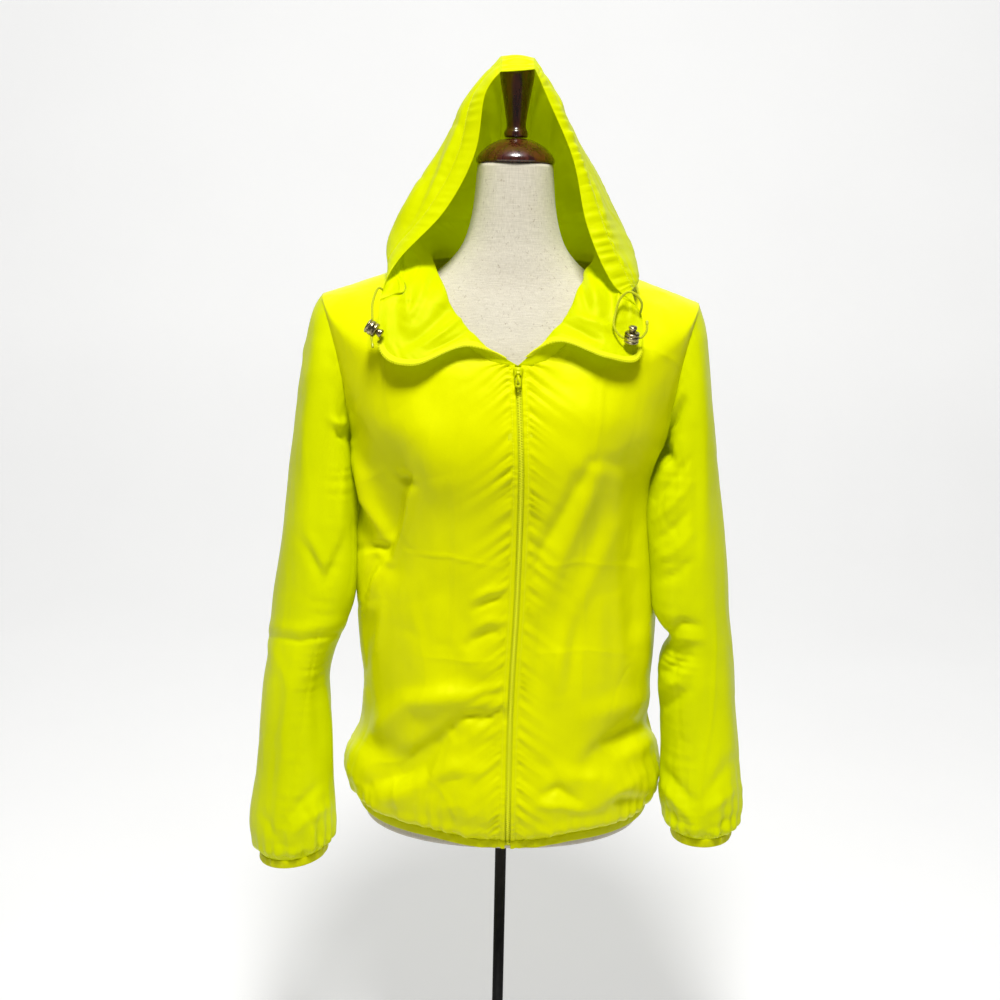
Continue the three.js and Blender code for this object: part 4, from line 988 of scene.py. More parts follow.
# The dress form under the cloth: its loft's half width, and its depth in front (below 0) and behind
FORM = Table("z wide front back", [
    [396, 157, -110, 110],
    [440, 157, -111, 112],
    [500, 150, -106, 109],
    [570, 134, -98, 99],
    [640, 120, -92, 88],
    [700, 124, -95, 84],
    [760, 136, -102, 85],
    [825, 148, -108, 90],
    [880, 156, -104, 92],
    [920, 166, -92, 86],
    [945, 168, -78, 76],
    [962, 158, -68, 66],
    [976, 136, -60, 58],
    [988, 108, -54, 52],
    [1000, 84, -50, 48],
    [1014, 66, -47, 46],
    [1034, 52, -43, 43],
    [1066, 43.5, -40, 41],
    [1111, 39.5, -38, 40],
])
FORM_FULLNESS = 0.9


def rest_on_form(p, gap=2.0):
    """Moves cloth that would sink into the form back out to rest on it."""
    rows = np.linspace(0, len(FORM) - 1, 2000)
    at = lambda name: np.interp(p[..., 2], FORM("z", rows), FORM(name, rows))
    deep = np.where(p[..., 1] < 0, -at("front"), at("back"))
    power = 2 / FORM_FULLNESS
    far = (np.abs(p[..., 0]) / (at("wide") + gap)) ** power + (np.abs(p[..., 1]) / (deep + gap)) ** power
    sunk = far ** (-1 / power) - 1
    out = 1 + 0.015 * np.logaddexp(0, sunk / 0.015)
    return p * np.stack([out, out, 1 + 0 * out], -1)


def push(p, amount, centre, closed=False):
    return p + outward(p, centre, closed) * amount[..., None]


CORE = np.array([0.0, 0.0, 700.0])
panels = {}


def even_rows(v):
    """Spreads a panel's rows evenly: most of its length is below the underarm."""
    return np.interp(v, [0, 0.76, 1], [0, UNDERARM_ROW, NECK_ROW])


def rounded_panel(p, rows, side_share):
    p = soften(p, rows, TIP_ROW, side_share, (0.02, 0.3))
    p = soften(p, rows, UNDERARM_ROW + 0.5, side_share, (0.0, 0.08), reach=1.4)
    return raise_hem(p)


for seed, side in enumerate(("left", "right")):
    u, v = grid(BODY_COLUMNS, BODY_ROWS)
    rows = even_rows(v)
    p = body_point(side, "front", rows, u**1.3)
    opening = np.exp(-run(p, 1) / 30) * EDGE_OPENING
    p[..., 0] += SIGN[side] * opening
    p = rounded_panel(p, rows, u)
    zip_edge, side_edge, hem_edge, neck_edge = from_neighbours(p)
    up_seam = run(p, 0)
    inside = fade(zip_edge, 4, 26) * fade(side_edge, 0, 22) * fade(hem_edge, 0, 30) * fade(neck_edge, 0, 30)
    lift = inside * packed(p, 11 + 47 * seed)
    lift = lift + folds(seen(p), FRONT_FOLDS[side]) * fade(side_edge, 0, 6) * fade(hem_edge, 0, 14)
    lift = lift + gathers(hem_edge, hemline_run(p), 2.0, 17, 40, seed) * fade(zip_edge, 2, 16)
    beside = zip_edge - EDGE_FOLD
    slanted = up_seam + 0.8 * zip_edge
    lift = lift + pucker(beside, slanted, 1.9, 9, 9, seed) * (beside > 0)
    lift = lift + pucker(beside, slanted, 1.8, 21, 18, seed + 8) * (beside > 0)
    lift = lift + 0.35 * ripple(up_seam, 8, seed + 2) * (1 - fade(zip_edge, 4, 7))
    lift = lift + pucker(side_edge, up_seam, 0.7, 11, 9, seed + 3)
    lift = lift + pucker(neck_edge, zip_edge, 0.5, 12, 9, seed + 5)
    lift = lift + 1.2 * (1 - fade(zip_edge, EDGE_FOLD - 0.8, EDGE_FOLD + 0.4)) - 0.6 * np.exp(
        -(((zip_edge - EDGE_FOLD) / 0.9) ** 2)
    )
    lift = lift + 3.5 * np.exp(-(((hem_edge - 13) / 8) ** 2)) * fade(zip_edge, 2, 40)
    lift = np.maximum(lift, -0.9 - 12 * fade(zip_edge, 11, 26))  # the zip's tape lies just behind
    p = rest_on_form(push(p, lift, CORE * [1, 1, 0] + p * [0, 0, 1]))
    panels["front_" + side] = p
    shell("front_panel_" + side, p, shell_cloth, flip=side == "left", replaces=["front_" + side])

# %% [markdown]
# ## The back
# The back is one piece, a little longer than the fronts at the shoulder. Nothing presses on it, so
# it hangs in a few long upright folds from the shoulder blades to the hem.

# %% Back
BACK_FOLDS = [
    # across and up, in millimetres
    ([(-96, 880), (-104, 760), (-92, 620)], 13, 4.2),
    ([(-60, 860), (-48, 700), (-56, 520)], 11, -4.0),
    ([(-12, 840), (-18, 700), (-10, 560)], 12, 3.4),
    ([(28, 820), (34, 640), (22, 480)], 10, -3.6),
    ([(92, 860), (104, 720), (90, 560)], 13, 4.4),
    ([(130, 700), (118, 580), (126, 470)], 11, -4.8),
    ([(-132, 700), (-120, 570), (-130, 470)], 11, -4.6),
    ([(-90, 950), (0, 930), (92, 948)], 14, 2.5),
    ([(-120, 480), (-70, 466), (-20, 478)], 11, 4.0),
    ([(20, 470), (74, 478), (120, 462)], 11, 4.0),
    ([(-140, 820), (-112, 780), (-90, 700)], 8, -3.4),
    ([(142, 830), (116, 780), (96, 716)], 8, -3.4),
    ([(-120, 668), (0, 662), (120, 670)], 1.8, 0.45),
    ([(-2, 900), (2, 660), (-2, 440)], 1.6, 0.4),
]
u, v = grid(130, 220)
half, rows = np.abs(2 * u - 1), even_rows(v)
p = np.where(
    (u < 0.5)[..., None],
    body_point("left", "back", rows, half),
    body_point("right", "back", rows, half),
)
p = rounded_panel(p, rows, half)
first_edge, last_edge, hem_edge, neck_edge = from_neighbours(p)
side_edge = np.minimum(first_edge, last_edge)
inside = fade(side_edge, 0, 22) * fade(hem_edge, 0, 30) * fade(neck_edge, 0, 30)
lift = 1.2 * inside * packed(p, 71)
lift = lift + 1.5 * folds((p[..., 0], p[..., 2]), BACK_FOLDS) * fade(side_edge, 0, 10) * fade(hem_edge, 0, 22)
lift = lift + gathers(hem_edge, hemline_run(p), 2.2, 17, 45, 5)
lift = lift + pucker(side_edge, run(p, 0), 0.7, 11, 9, 6) + pucker(neck_edge, first_edge, 0.5, 12, 9, 7)
lift = lift + 5 * np.exp(-(((hem_edge - 15) / 8) ** 2))
panels["back"] = rest_on_form(push(p, lift, CORE * [1, 1, 0] + p * [0, 0, 1]))
shell("back_panel", panels["back"], shell_cloth, flip=True, replaces=["back"])

# %% [markdown]
# ## The sleeves
# A sleeve is a tube of one layer, so it is the part where light comes through and the yellow looks
# greenest. It hangs straight, breaks at the elbow, and blouses over the cuff. Its underarm seam
# twists to the front below the elbow, with a line of ripples along it.

# %% Sleeves
SLEEVE_COLUMNS, SLEEVE_ROWS = 112, 190
SLEEVE_SEAMS = {
    "left": [(-176, 800), (-186, 700), (-197, 640), (-214, 540), (-228, 450), (-238, 372)],
    "right": [(172, 800), (180, 660), (186, 560), (196, 480), (206, 404)],
}
# Lines across and down the picture, as on the fronts
SLEEVE_FOLDS = {
    "left": [
        ([(268, 636), (300, 642), (346, 632)], 3, -2.2),
        ([(270, 626), (300, 630), (344, 622)], 6, 2.4),
        ([(302, 542), (316, 566), (324, 582)], 5, -3.2),
        ([(324, 584), (334, 566), (342, 540)], 5, -3.4),
        ([(312, 540), (324, 566), (334, 545)], 5, 2.4),
        ([(316, 345), (306, 420), (298, 520)], 8, 2.6),
        ([(330, 360), (322, 450), (314, 530)], 7, -2.6),
        ([(344, 440), (342, 500), (336, 560)], 6, 2.2),
        ([(298, 400), (290, 500), (284, 590)], 7, -1.8),
        ([(276, 680), (272, 760), (268, 820)], 7, -2.2),
        ([(294, 660), (284, 740), (278, 810)], 7, 2.4),
        ([(322, 650), (318, 700), (322, 760)], 6, -2.2),
        ([(286, 822), (300, 804), (320, 784)], 5, -2.8),
        ([(290, 836), (306, 820), (328, 806)], 5, 2.6),
        ([(302, 806), (314, 824), (322, 842)], 4, -2.4),
        ([(262, 812), (272, 832), (282, 848)], 4, -2.2),
        ([(330, 420), (340, 425), (349, 420)], 4, 3.5),
        ([(338, 432), (346, 440)], 5, -4.5),
    ],
    "right": [
        ([(681, 392), (668, 412), (655, 434)], 4, 3.6),
        ([(684, 402), (672, 424), (661, 446)], 3.5, -4.0),
        ([(655, 436), (674, 430)], 3.5, 2.6),
        ([(652, 446), (666, 452), (674, 466)], 7, -6.5),
        ([(656, 486), (666, 470), (680, 440)], 4, 2.6),
        ([(656, 500), (670, 484), (688, 460)], 4, -3.2),
        ([(656, 520), (672, 506), (690, 484)], 4, 2.6),
        ([(657, 540), (672, 530), (690, 510)], 4, -3.0),
        ([(658, 560), (674, 552), (692, 534)], 4, 2.6),
        ([(660, 580), (676, 574), (692, 560)], 4, -2.8),
        ([(700, 340), (704, 420), (706, 520)], 7, 2.4),
        ([(694, 430), (698, 520), (696, 600)], 6, -2.4),
        ([(718, 460), (720, 560), (722, 640)], 6, -1.8),
        ([(668, 632), (682, 623), (698, 626)], 4.5, -4.6),
        ([(668, 644), (684, 638), (702, 640)], 5, 3.2),
        ([(658, 674), (672, 668), (688, 656)], 5, -3.6),
        ([(662, 690), (680, 680), (692, 668)], 5, 2.8),
        ([(660, 708), (675, 700), (688, 690)], 6, -4.0),
        ([(660, 766), (674, 782), (692, 802)], 5, -3.6),
        ([(662, 786), (680, 806), (696, 826)], 4.5, 3.4),
        ([(664, 806), (680, 826)], 4, -3.4),
        ([(703, 800), (720, 777), (733, 760)], 6, -2.8),
        ([(703, 815), (722, 800), (738, 788)], 5, 2.8),
        ([(702, 832), (720, 827), (736, 815)], 4, -2.8),
        ([(726, 640), (730, 720), (732, 790)], 6, 1.8),
        ([(708, 660), (712, 720), (710, 780)], 7, -1.8),
    ],
}
# How far the inner side reaches in to the body, at heights from the shoulder down
SLEEVE_REACH = {
    "left": ([400, 620, 690, 760, 850, 900], [0, 0, 4, 5, 5, 0]),
    "right": ([400, 440, 500, 560, 610, 650, 760, 860, 900], [0, 7, 6.5, 3, 3, 8, 9, 8, 0]),
}
for seed, side in enumerate(("left", "right")):
    turn, v = np.meshgrid(
        np.linspace(0, 2 * np.pi, SLEEVE_COLUMNS, endpoint=False), np.linspace(0, 1, SLEEVE_ROWS + 1)
    )
    p = sleeve_point(side, v * CUFF_ROW, turn)
    reach = np.interp(p[..., 2], *SLEEVE_REACH[side])
    p[..., 0] -= SIGN[side] * reach * fade(-np.cos(turn), 0.0, 0.95)
    middle = p.mean(1, keepdims=True)
    arm_edge, cuff_edge = run(p, 0), run(p, 0)[-1:] - run(p, 0)
    around = np.broadcast_to(run(p[-1:], 1), p.shape[:2])
    shoulder_around = np.broadcast_to(run(p[:1], 1), p.shape[:2])
    front_half = fade(np.sin(turn), -0.1, 0.25)
    seam_away, seam_along = to_line(p[..., 0], p[..., 2], SLEEVE_SEAMS[side])
    seam = -0.9 * np.exp(-((seam_away / 1.2) ** 2)) + pucker(seam_away, seam_along, 1.1, 10, 9, seed)
    inside = fade(arm_edge, 0, 26) * fade(cuff_edge, 0, 26)
    lift = inside * packed(p, 131 + 20 * seed, 0.4) * 1.1
    lift = lift + folds(seen(p), SLEEVE_FOLDS[side]) * (0.35 + 0.65 * front_half) * fade(arm_edge, 0, 8)
    lift = lift + seam * front_half * inside
    lift = lift + gathers(cuff_edge, around, 3.2, 13, 32, seed + 2) + 3 * np.exp(-(((cuff_edge - 12) / 7) ** 2))
    lift = lift + pucker(arm_edge, shoulder_around, 0.8, 12, 10, seed + 4)
    panels["sleeve_" + side] = push(p, lift, middle, closed=True)
    shell(
        "sleeve_tube_" + side, panels["sleeve_" + side], sleeve_cloth, closed=True,
        flip=side == "right", replaces=["sleeve_" + side],
    )

# %% [markdown]
# ## Bindings at the hem and cuffs
# Each is a folded strip round a flat elastic. A closed loop of its cross-section is swept along the
# edge it is sewn to, and it ripples where the elastic has drawn it up.

# %% Bindings
BINDING_HEIGHT = 9.6
BINDING_THICK = 2.4


def binding(name, edge, centre, closed, replaces):
    """A soft band hung from an edge, thicker in the middle of its height."""
    count = len(edge)
    away = (edge - centre) * [1, 1, 0]
    away /= np.linalg.norm(away, axis=1, keepdims=True)
    walked = np.concatenate([[0], np.cumsum(np.linalg.norm(np.diff(edge, axis=0), axis=1))])
    wobble = 0.8 * ripple(walked, 11, 3) + 0.4 * ripple(walked, 6, 5)
    around = np.linspace(0, 2 * np.pi, 20, endpoint=False)
    deep = BINDING_THICK / 2 * np.sign(np.cos(around)) * np.abs(np.cos(around)) ** 0.5
    tall = BINDING_HEIGHT / 2 * (np.sign(np.sin(around)) * np.abs(np.sin(around)) ** 0.8 - 1)
    middle = np.sin(np.pi * np.clip(-tall / BINDING_HEIGHT, 0, 1))
    offset = deep[None, :] + wobble[:, None] * middle[None, :]
    loop = edge[:, None] + away[:, None] * offset[..., None] + np.array([0, 0, 1.0]) * tall[None, :, None]
    vertices = loop.reshape(-1, 3)
    sides = len(around)
    faces = []
    for j in range(count if closed else count - 1):
        for i in range(sides):
            a, b = j * sides, ((j + 1) % count) * sides
            faces.append((a + i, a + (i + 1) % sides, b + (i + 1) % sides, b + i))
    if not closed:
        faces += [tuple(range(sides))[::-1], tuple((count - 1) * sides + i for i in range(sides))]
    # the band's finish is the darker nylon with painted shade
    piece = mesh_object(name, vertices, faces, shaded_binding_cloth)
    tidy = bmesh.new()
    tidy.from_mesh(piece.data)
    bmesh.ops.recalc_face_normals(tidy, faces=tidy.faces)
    tidy.to_mesh(piece.data)
    tidy.free()
    print(f"{name}: {walked[-1]:.0f} mm long when gathered")
    return settle(piece, replaces)


hem_edge_line = np.concatenate([
    panels["front_right"][0],
    panels["back"][0][::-1][1:],
    panels["front_left"][0][::-1][1:],
])
binding("hem_band", hem_edge_line, np.array([0.0, 0, 0]), False, ["hem_binding"])
for side in ("left", "right"):
    edge = panels["sleeve_" + side][-1]
    binding("cuff_band_" + side, edge, edge.mean(0), True, ["cuff_binding_" + side])

# %% [markdown]
# ## Collar
# The collar is one band. In front it has fallen open into two lapels, so its inside shows, and its
# free edges carry the open halves of the zip. Soft folds run from the neck to the lapel's edge.

# %% Collar
COLLAR_COLUMNS, COLLAR_ROWS = 260, 56
# Lines across and down the picture, as on the fronts
COLLAR_FOLDS = [
    ([(452, 300), (440, 318), (420, 335), (400, 350)], 6, -3.2),
    ([(462, 318), (445, 332), (425, 345)], 3, 2.6),
    ([(470, 330), (450, 342), (430, 352)], 3, -2.2),
    ([(430, 275), (420, 300), (405, 325)], 6, 2.8),
    ([(412, 262), (405, 280), (398, 300)], 5, -2.6),
    ([(440, 262), (428, 290), (415, 318)], 5, -2.2),
    ([(384, 301), (400, 303), (417, 303)], 1.5, -1.2),
    ([(560, 322), (580, 330), (605, 345)], 4, -2.6),
    ([(556, 332), (580, 342), (600, 352)], 3, 2.2),
    ([(585, 250), (590, 280), (600, 310)], 6, 2.8),
    ([(578, 262), (583, 290), (590, 315)], 5, -2.6),
    ([(600, 262), (608, 285), (614, 305)], 4, -2.2),
    ([(575, 315), (595, 322), (618, 332)], 4, 2.2),
    ([(605, 318), (620, 335), (625, 350)], 4, -2.2),
]
u, v = grid(COLLAR_COLUMNS, COLLAR_ROWS)
p = net_point(RIB_END * u, SEAM_STATION * v)
under = p[0] - p[3]
p[0] += under / np.linalg.norm(under, axis=-1, keepdims=True) * 3.5  # the seam allowance, tucked in
first_edge, last_edge, root_edge, seam_edge = from_neighbours(p)
free_edge = np.minimum(first_edge, last_edge)
above = np.array([0.0, 10.0, 1120.0])
seam_walk = np.broadcast_to(run(p[-1:], 1), p.shape[:2])
inside = fade(free_edge, 2, 12) * fade(root_edge, 0, 14) * fade(seam_edge, 0, 12)
lift = inside * packed(p, 171, 1.0) * 0.8
lift = lift + folds(seen(p), COLLAR_FOLDS) * fade(free_edge, 3, 14) * fade(root_edge, 0, 8) * (p[..., 1] < 0)
lift = lift + pucker(free_edge, run(p, 0), 0.7, 9, 8, 3) + pucker(root_edge, seam_walk, 0.5, 12, 8, 4)
lift = lift + pucker(seam_edge, seam_walk, 0.8, 12, 9, 8)
panels["collar"] = p + facing(p) * lift[..., None]
shell("collar_band", panels["collar"], hood_cloth, replaces=["collar"])

# %% [markdown]
# ## Hood
# Two shaped sides and a narrow gusset over the crown. The front edge is turned back into a channel
# for the drawcord. The cord has gathered it, so it is full of short ripples across its width, and
# longer ones run out from its stitching.

# %% Hood sides and gusset
HOOD_COLUMNS, HOOD_ROWS = 110, 130
CHANNEL_WIDTH = 21
# Lines across and down the picture; the last ones are on the far side, seen through the opening
HOOD_FOLDS = {
    "left": [
        ([(468, 110), (444, 165), (424, 215)], 6, 3.0),
        ([(456, 120), (430, 178), (408, 225)], 5, -2.8),
        ([(440, 215), (415, 245), (395, 275)], 6, 2.4),
        ([(430, 240), (408, 262), (392, 285)], 4, -2.6),
        ([(484, 90), (474, 120), (462, 150)], 5, -2.2),
        ([(492, 84), (499, 108), (508, 134)], 4, -4.5),
        ([(486, 100), (490, 130), (494, 160)], 5, 3.5),
    ],
    "right": [
        ([(560, 120), (580, 170), (600, 225)], 5, -3.0),
        ([(568, 130), (590, 180), (612, 235)], 4.5, 2.8),
        ([(604, 230), (618, 262), (630, 290)], 4, -2.6),
        ([(545, 84), (538, 104), (528, 128)], 5, -5.5),
        ([(552, 100), (548, 140), (552, 180)], 5, 3.5),
        ([(575, 200), (580, 235), (592, 268)], 6, -3.0),
        ([(560, 190), (566, 225), (576, 258)], 6, 2.6),
    ],
}
hood_middle = np.array([0.0, 20.0, 1080.0])
for seed, side in enumerate(("left", "right")):
    u, v = grid(HOOD_COLUMNS, HOOD_ROWS)
    p = hood_point(side, LAST_RIB * u**1.2, SEAM_STATION + (CROWN_STATION - SEAM_STATION) * v)
    front_edge, back_edge, seam_edge, crown_edge = from_neighbours(p)
    up_edge = np.broadcast_to(run(p, 0)[:, :1], p.shape[:2])
    inside = fade(back_edge, 0, 14) * fade(seam_edge, 0, 16) * fade(crown_edge, 0, 14)
    lift = inside * fade(front_edge, 6, 30) * packed(p, 211 + 20 * seed, 0.6) * 1.1
    lift = lift + folds(seen(p), HOOD_FOLDS[side]) * inside * fade(front_edge, CHANNEL_WIDTH, CHANNEL_WIDTH + 12)
    ends = fade(seam_edge, 0, 8) * fade(crown_edge, 0, 8)
    within = np.sin(np.pi * np.clip(front_edge / CHANNEL_WIDTH, 0, 1)) ** 0.7
    beyond = np.maximum(0, front_edge - CHANNEL_WIDTH)
    drawn_up = {"left": 0.35, "right": 1.0}[side]  # the cord is pulled on one side only
    rippled = 1.3 * ripple(up_edge, 11, seed + 1) + 0.7 * ripple(up_edge, 5, seed + 4)
    channel = 1.1 * within + drawn_up * within * rippled
    stitched = -0.8 * np.exp(-(((front_edge - CHANNEL_WIDTH) / 1.1) ** 2))
    spread = pucker(beyond, up_edge, 1.1 * drawn_up, 13, 16, seed + 7) * (front_edge > CHANNEL_WIDTH)
    lift = lift + ends * (channel + stitched + spread)
    lift = lift + pucker(seam_edge, front_edge, 0.9, 11, 10, seed + 2) + pucker(crown_edge, front_edge, 0.5, 10, 7, 3)
    panels["hood_" + side] = push(p, lift, hood_middle)
    shell(
        "hood_panel_" + side, panels["hood_" + side], hood_cloth, flip=side == "right",
        replaces=["hood_side_" + side],
    )

GUSSET_COLUMNS, GUSSET_ROWS = 16, 220


def gusset_edge(side, v):
    """Over the crown from the front edge, then down the back to the collar."""
    turn = 12 / 23
    over = hood_point(side, LAST_RIB * np.clip(v / turn, 0, 1), CROWN_STATION)
    down = hood_point(
        side, LAST_RIB, CROWN_STATION - (CROWN_STATION - SEAM_STATION) * np.clip((v - turn) / (1 - turn), 0, 1)
    )
    return np.where((v <= turn)[..., None], over, down)


u, v = grid(GUSSET_COLUMNS, GUSSET_ROWS)
left_edge, right_edge = gusset_edge("left", v), gusset_edge("right", v)
p = left_edge + (right_edge - left_edge) * u[..., None]
bow = np.sin(np.pi * u) * (1.4 + 0.6 * ripple(run(p, 0), 26, 4)) * fade(run(p, 0), 0, 20)
wave = 1.8 * np.sin(np.pi * u) * ripple(run(p, 0), 9, 6) * (1 - fade(run(p, 0), 18, 60))
panels["gusset"] = push(p, bow + wave, hood_middle)
shell("hood_gusset_strip", panels["gusset"], hood_cloth, flip=True, replaces=["hood_gusset"])

# %% [markdown]
# ## The zip
# A closed zip is two woven tapes with a row of teeth each. The teeth of one side sit in the gaps
# of the other, so a tooth is made once and copied along the line, first on one side and then, half
# a pitch on, on the other.

# %% Zip line and tapes
TAPE_INNER, TAPE_OUTER, TAPE_DROP = 0.8, 12, 1.5
TAPE_TAIL = 8.5  # the zip goes on down across the hem's binding
TOOTH_PITCH = 2.6
TEETH_TOP_ROW = 19.1


def zip_point(side, row, away):
    z = BODY("zf", row)
    end = row_end(side, "front", row)[..., 0]
    sweep = np.radians(BODY("sweep", row))
    part = (away / np.abs(end - zip_x(z))) ** (1 / PLAN_FULLNESS)
    return body_point(side, "front", row, np.arcsin(np.sin(sweep) * part) / sweep)


def zip_frame(rows):
    """Points of the zip line with its directions: along, sideways and out of the cloth."""
    at = zip_point("right", rows, 0 * rows)
    along = np.gradient(at, axis=0)
    along /= np.linalg.norm(along, axis=1, keepdims=True)
    sideways = np.cross(along, np.cross([1.0, 0, 0], along))
    sideways /= np.linalg.norm(sideways, axis=1, keepdims=True)
    return at, along, sideways, np.cross(sideways, along)


for side in ("left", "right"):
    u, v = grid(6, 180)
    p = zip_point(side, v * (NECK_ROW - 0.2), TAPE_INNER + (TAPE_OUTER - TAPE_INNER) * u)
    p = push(p, -TAPE_DROP + 0 * u, CORE * [1, 1, 0] + p * [0, 0, 1])
    p = np.concatenate([p[:1] - [0, 0, TAPE_TAIL], p])
    shell("zip_tape_weave_" + side, p, tape_weave, flip=side == "left", replaces=["zip_tape_" + side])

# %% Teeth
def rounded_block(size, bevel, segments=2):
    """A small block with rounded edges, as points and faces."""
    block = bmesh.new()
    bmesh.ops.create_cube(block, size=1)
    bmesh.ops.scale(block, vec=size, verts=block.verts)
    bmesh.ops.bevel(block, geom=block.edges[:], offset=bevel, segments=segments, affect="EDGES", profile=0.7)
    bmesh.ops.triangulate(block, faces=block.faces)
    vertices = np.array([v.co[:] for v in block.verts])
    faces = [[v.index for v in f.verts] for f in block.faces]
    block.free()
    return vertices, faces


def copies(vertices, faces, frames):
    """One shape set down at many places: a frame is its place and its three directions."""
    placed, all_faces = [], []
    for k, (at, x, y, z) in enumerate(frames):
        placed.append(at + vertices[:, :1] * x + vertices[:, 1:2] * y + vertices[:, 2:3] * z)
        all_faces += [[i + k * len(vertices) for i in face] for face in faces]
    return np.concatenate(placed), all_faces


def rows_along(start, end, pitch, offset=0.0):
    """Fractional rows at even distances along the zip."""
    fine = np.linspace(start, end, 2000)
    at = zip_point("right", fine, 0 * fine)
    walked = np.concatenate([[0], np.cumsum(np.linalg.norm(np.diff(at, axis=0), axis=1))])
    return np.interp(np.arange(offset, walked[-1], pitch), walked, fine), walked[-1]


tooth, tooth_faces = rounded_block((2.5, 1.7, 1.5), 0.35)
frames = []
for sign, offset in ((-1, 0.6), (1, 0.6 + TOOTH_PITCH / 2)):
    rows, zip_length = rows_along(-0.25, TEETH_TOP_ROW, TOOTH_PITCH, offset)
    at, along, sideways, out = zip_frame(rows)
    for a, l, s, o in zip(at, along, sideways, out):
        frames.append((a + s * sign * 0.75 + o * 0.1, s, o, l))
    first, *directions = frames[-len(rows)]
    for down in np.arange(1, 3) * TOOTH_PITCH:
        frames.append((first - [0, 0, down], *directions))
vertices, faces = copies(tooth, tooth_faces, frames)
settle(mesh_object("zip_teeth_closed", vertices, faces, teeth_plastic), ["zip_teeth"])
print(f"zip: {zip_length:.0f} mm closed, {len(frames)} teeth")

# %% [markdown]
# ## The open half of the zip
# Above the slider the two halves part and run along the lapels' free edges: a narrow tape with its
# teeth standing off the edge. Seen from the front it reads as a light piping.

# %% Open teeth
edge_tooth, edge_tooth_faces = rounded_block((1.9, 1.5, 1.4), 0.3)
for side in ("left", "right"):
    station = np.linspace(0.36, 3.25, 700)
    at = hood_point(side, 0 * station, station)
    inward = hood_point(side, 0.12 + 0 * station, station)
    out = at - inward
    out /= np.linalg.norm(out, axis=1, keepdims=True)
    along = np.gradient(at, axis=0)
    along /= np.linalg.norm(along, axis=1, keepdims=True)
    across = np.cross(out, along)
    walked = np.concatenate([[0], np.cumsum(np.linalg.norm(np.diff(at, axis=0), axis=1))])
    pick = np.searchsorted(walked, np.arange(1, walked[-1], TOOTH_PITCH))
    frames = [(at[k] + out[k] * 2.4, out[k], across[k], along[k]) for k in pick if k < len(at)]
    vertices, faces = copies(edge_tooth, edge_tooth_faces, frames)
    settle(mesh_object("open_teeth_" + side, vertices, faces, teeth_plastic), ["zip_edge_" + side])
    width = np.linspace(-3.5, 2.2, 7)
    strip = at[:, None] + out[:, None] * width[None, :, None] + across[:, None] * 0.0
    strip = strip[::3]
    shell("open_tape_" + side, strip, tape_weave, thick=2.0)

# %% [markdown]
# ## Sewing
# A line of stitches is a row of short thread ends with a gap between them. Each is a spindle laid
# on the cloth, and the rows follow the panels as they were creased, so they dip with the puckers.

# %% Stitches
STITCH_PITCH, STITCH_LENGTH, THREAD_RADIUS = 3.0, 2.2, 0.3


def line_on(p, distance, centre, first=True, across=True):
    """The points of a panel at a distance from one of its edges, and the way it faces there."""
    n = outward(p, centre)
    if not across:
        p, n = p.transpose(1, 0, 2), n.transpose(1, 0, 2)
    if not first:
        p, n = p[:, ::-1], n[:, ::-1]
    walked = run(p, 1)
    pick = lambda values: np.array([
        [np.interp(distance, walked[j], values[j, :, k]) for k in range(3)] for j in range(len(p))
    ])
    return pick(p), pick(n)


def stitches(name, rows, lift=CLOTH / 2 + 0.1):
    """One piece of thread work from several (line, facing) pairs."""
    vertices, faces = [], []
    for line, way in rows:
        walked = np.concatenate([[0], np.cumsum(np.linalg.norm(np.diff(line, axis=0), axis=1))])
        at = lambda s: np.array([np.interp(s, walked, line[:, k]) for k in range(3)])
        facing_at = lambda s: np.array([np.interp(s, walked, way[:, k]) for k in range(3)])
        for s in np.arange(2, walked[-1] - 3, STITCH_PITCH):
            ends = [at(s), at(s + STITCH_LENGTH)]
            n = facing_at(s)
            n /= np.linalg.norm(n)
            along = ends[1] - ends[0]
            along /= max(1e-6, np.linalg.norm(along))
            side_way = np.cross(along, n)
            base = len(vertices)
            for t, radius, high in ((0, 0.4, -0.1), (0.3, 1, 0.12), (0.7, 1, 0.12), (1, 0.4, -0.1)):
                centre = ends[0] + (ends[1] - ends[0]) * t + n * (lift + high)
                for k in range(5):
                    a = 2 * math.pi * k / 5
                    vertices.append(
                        centre + THREAD_RADIUS * radius * (side_way * math.cos(a) + n * math.sin(a))
                    )
            for ring in range(3):
                for k in range(5):
                    a, b = base + ring * 5 + k, base + ring * 5 + (k + 1) % 5
                    faces.append((a, b, b + 5, a + 5))
            faces += [
                tuple(base + k for k in range(5))[::-1],
                tuple(base + 15 + k for k in range(5)),
            ]
    piece = mesh_object(name, vertices, faces, thread_twist)
    print(f"{name}: {len(faces) // 17} stitches")
    return settle(piece)


trunk = np.array([0.0, 0, 700])
for side in ("left", "right"):
    stitches("stitches_zip_" + side, [
        line_on(panels["front_" + side], EDGE_FOLD - 0.9, trunk),
    ])
    stitches("stitches_hem_" + side, [line_on(panels["front_" + side], 2.4, trunk, across=False)])
    sleeve = panels["sleeve_" + side]
    cuff_line = np.concatenate([sleeve[-5], sleeve[-5][:1]])
    cuff_way = cuff_line - cuff_line.mean(0)
    stitches("stitches_cuff_" + side, [(cuff_line, cuff_way)])
    stitches("stitches_channel_" + side, [
        line_on(panels["hood_" + side], CHANNEL_WIDTH, hood_middle),
    ])
stitches("stitches_hem_back", [line_on(panels["back"], 2.4, trunk, across=False)])

# %% [markdown]
# ## Slider and pull tab
# The slider is a small painted casting with a bridge on its face. The tab hangs from the bridge on
# a pin, and it is the one hard piece that swings without moving the cloth, so it rides on a body of
# its own.

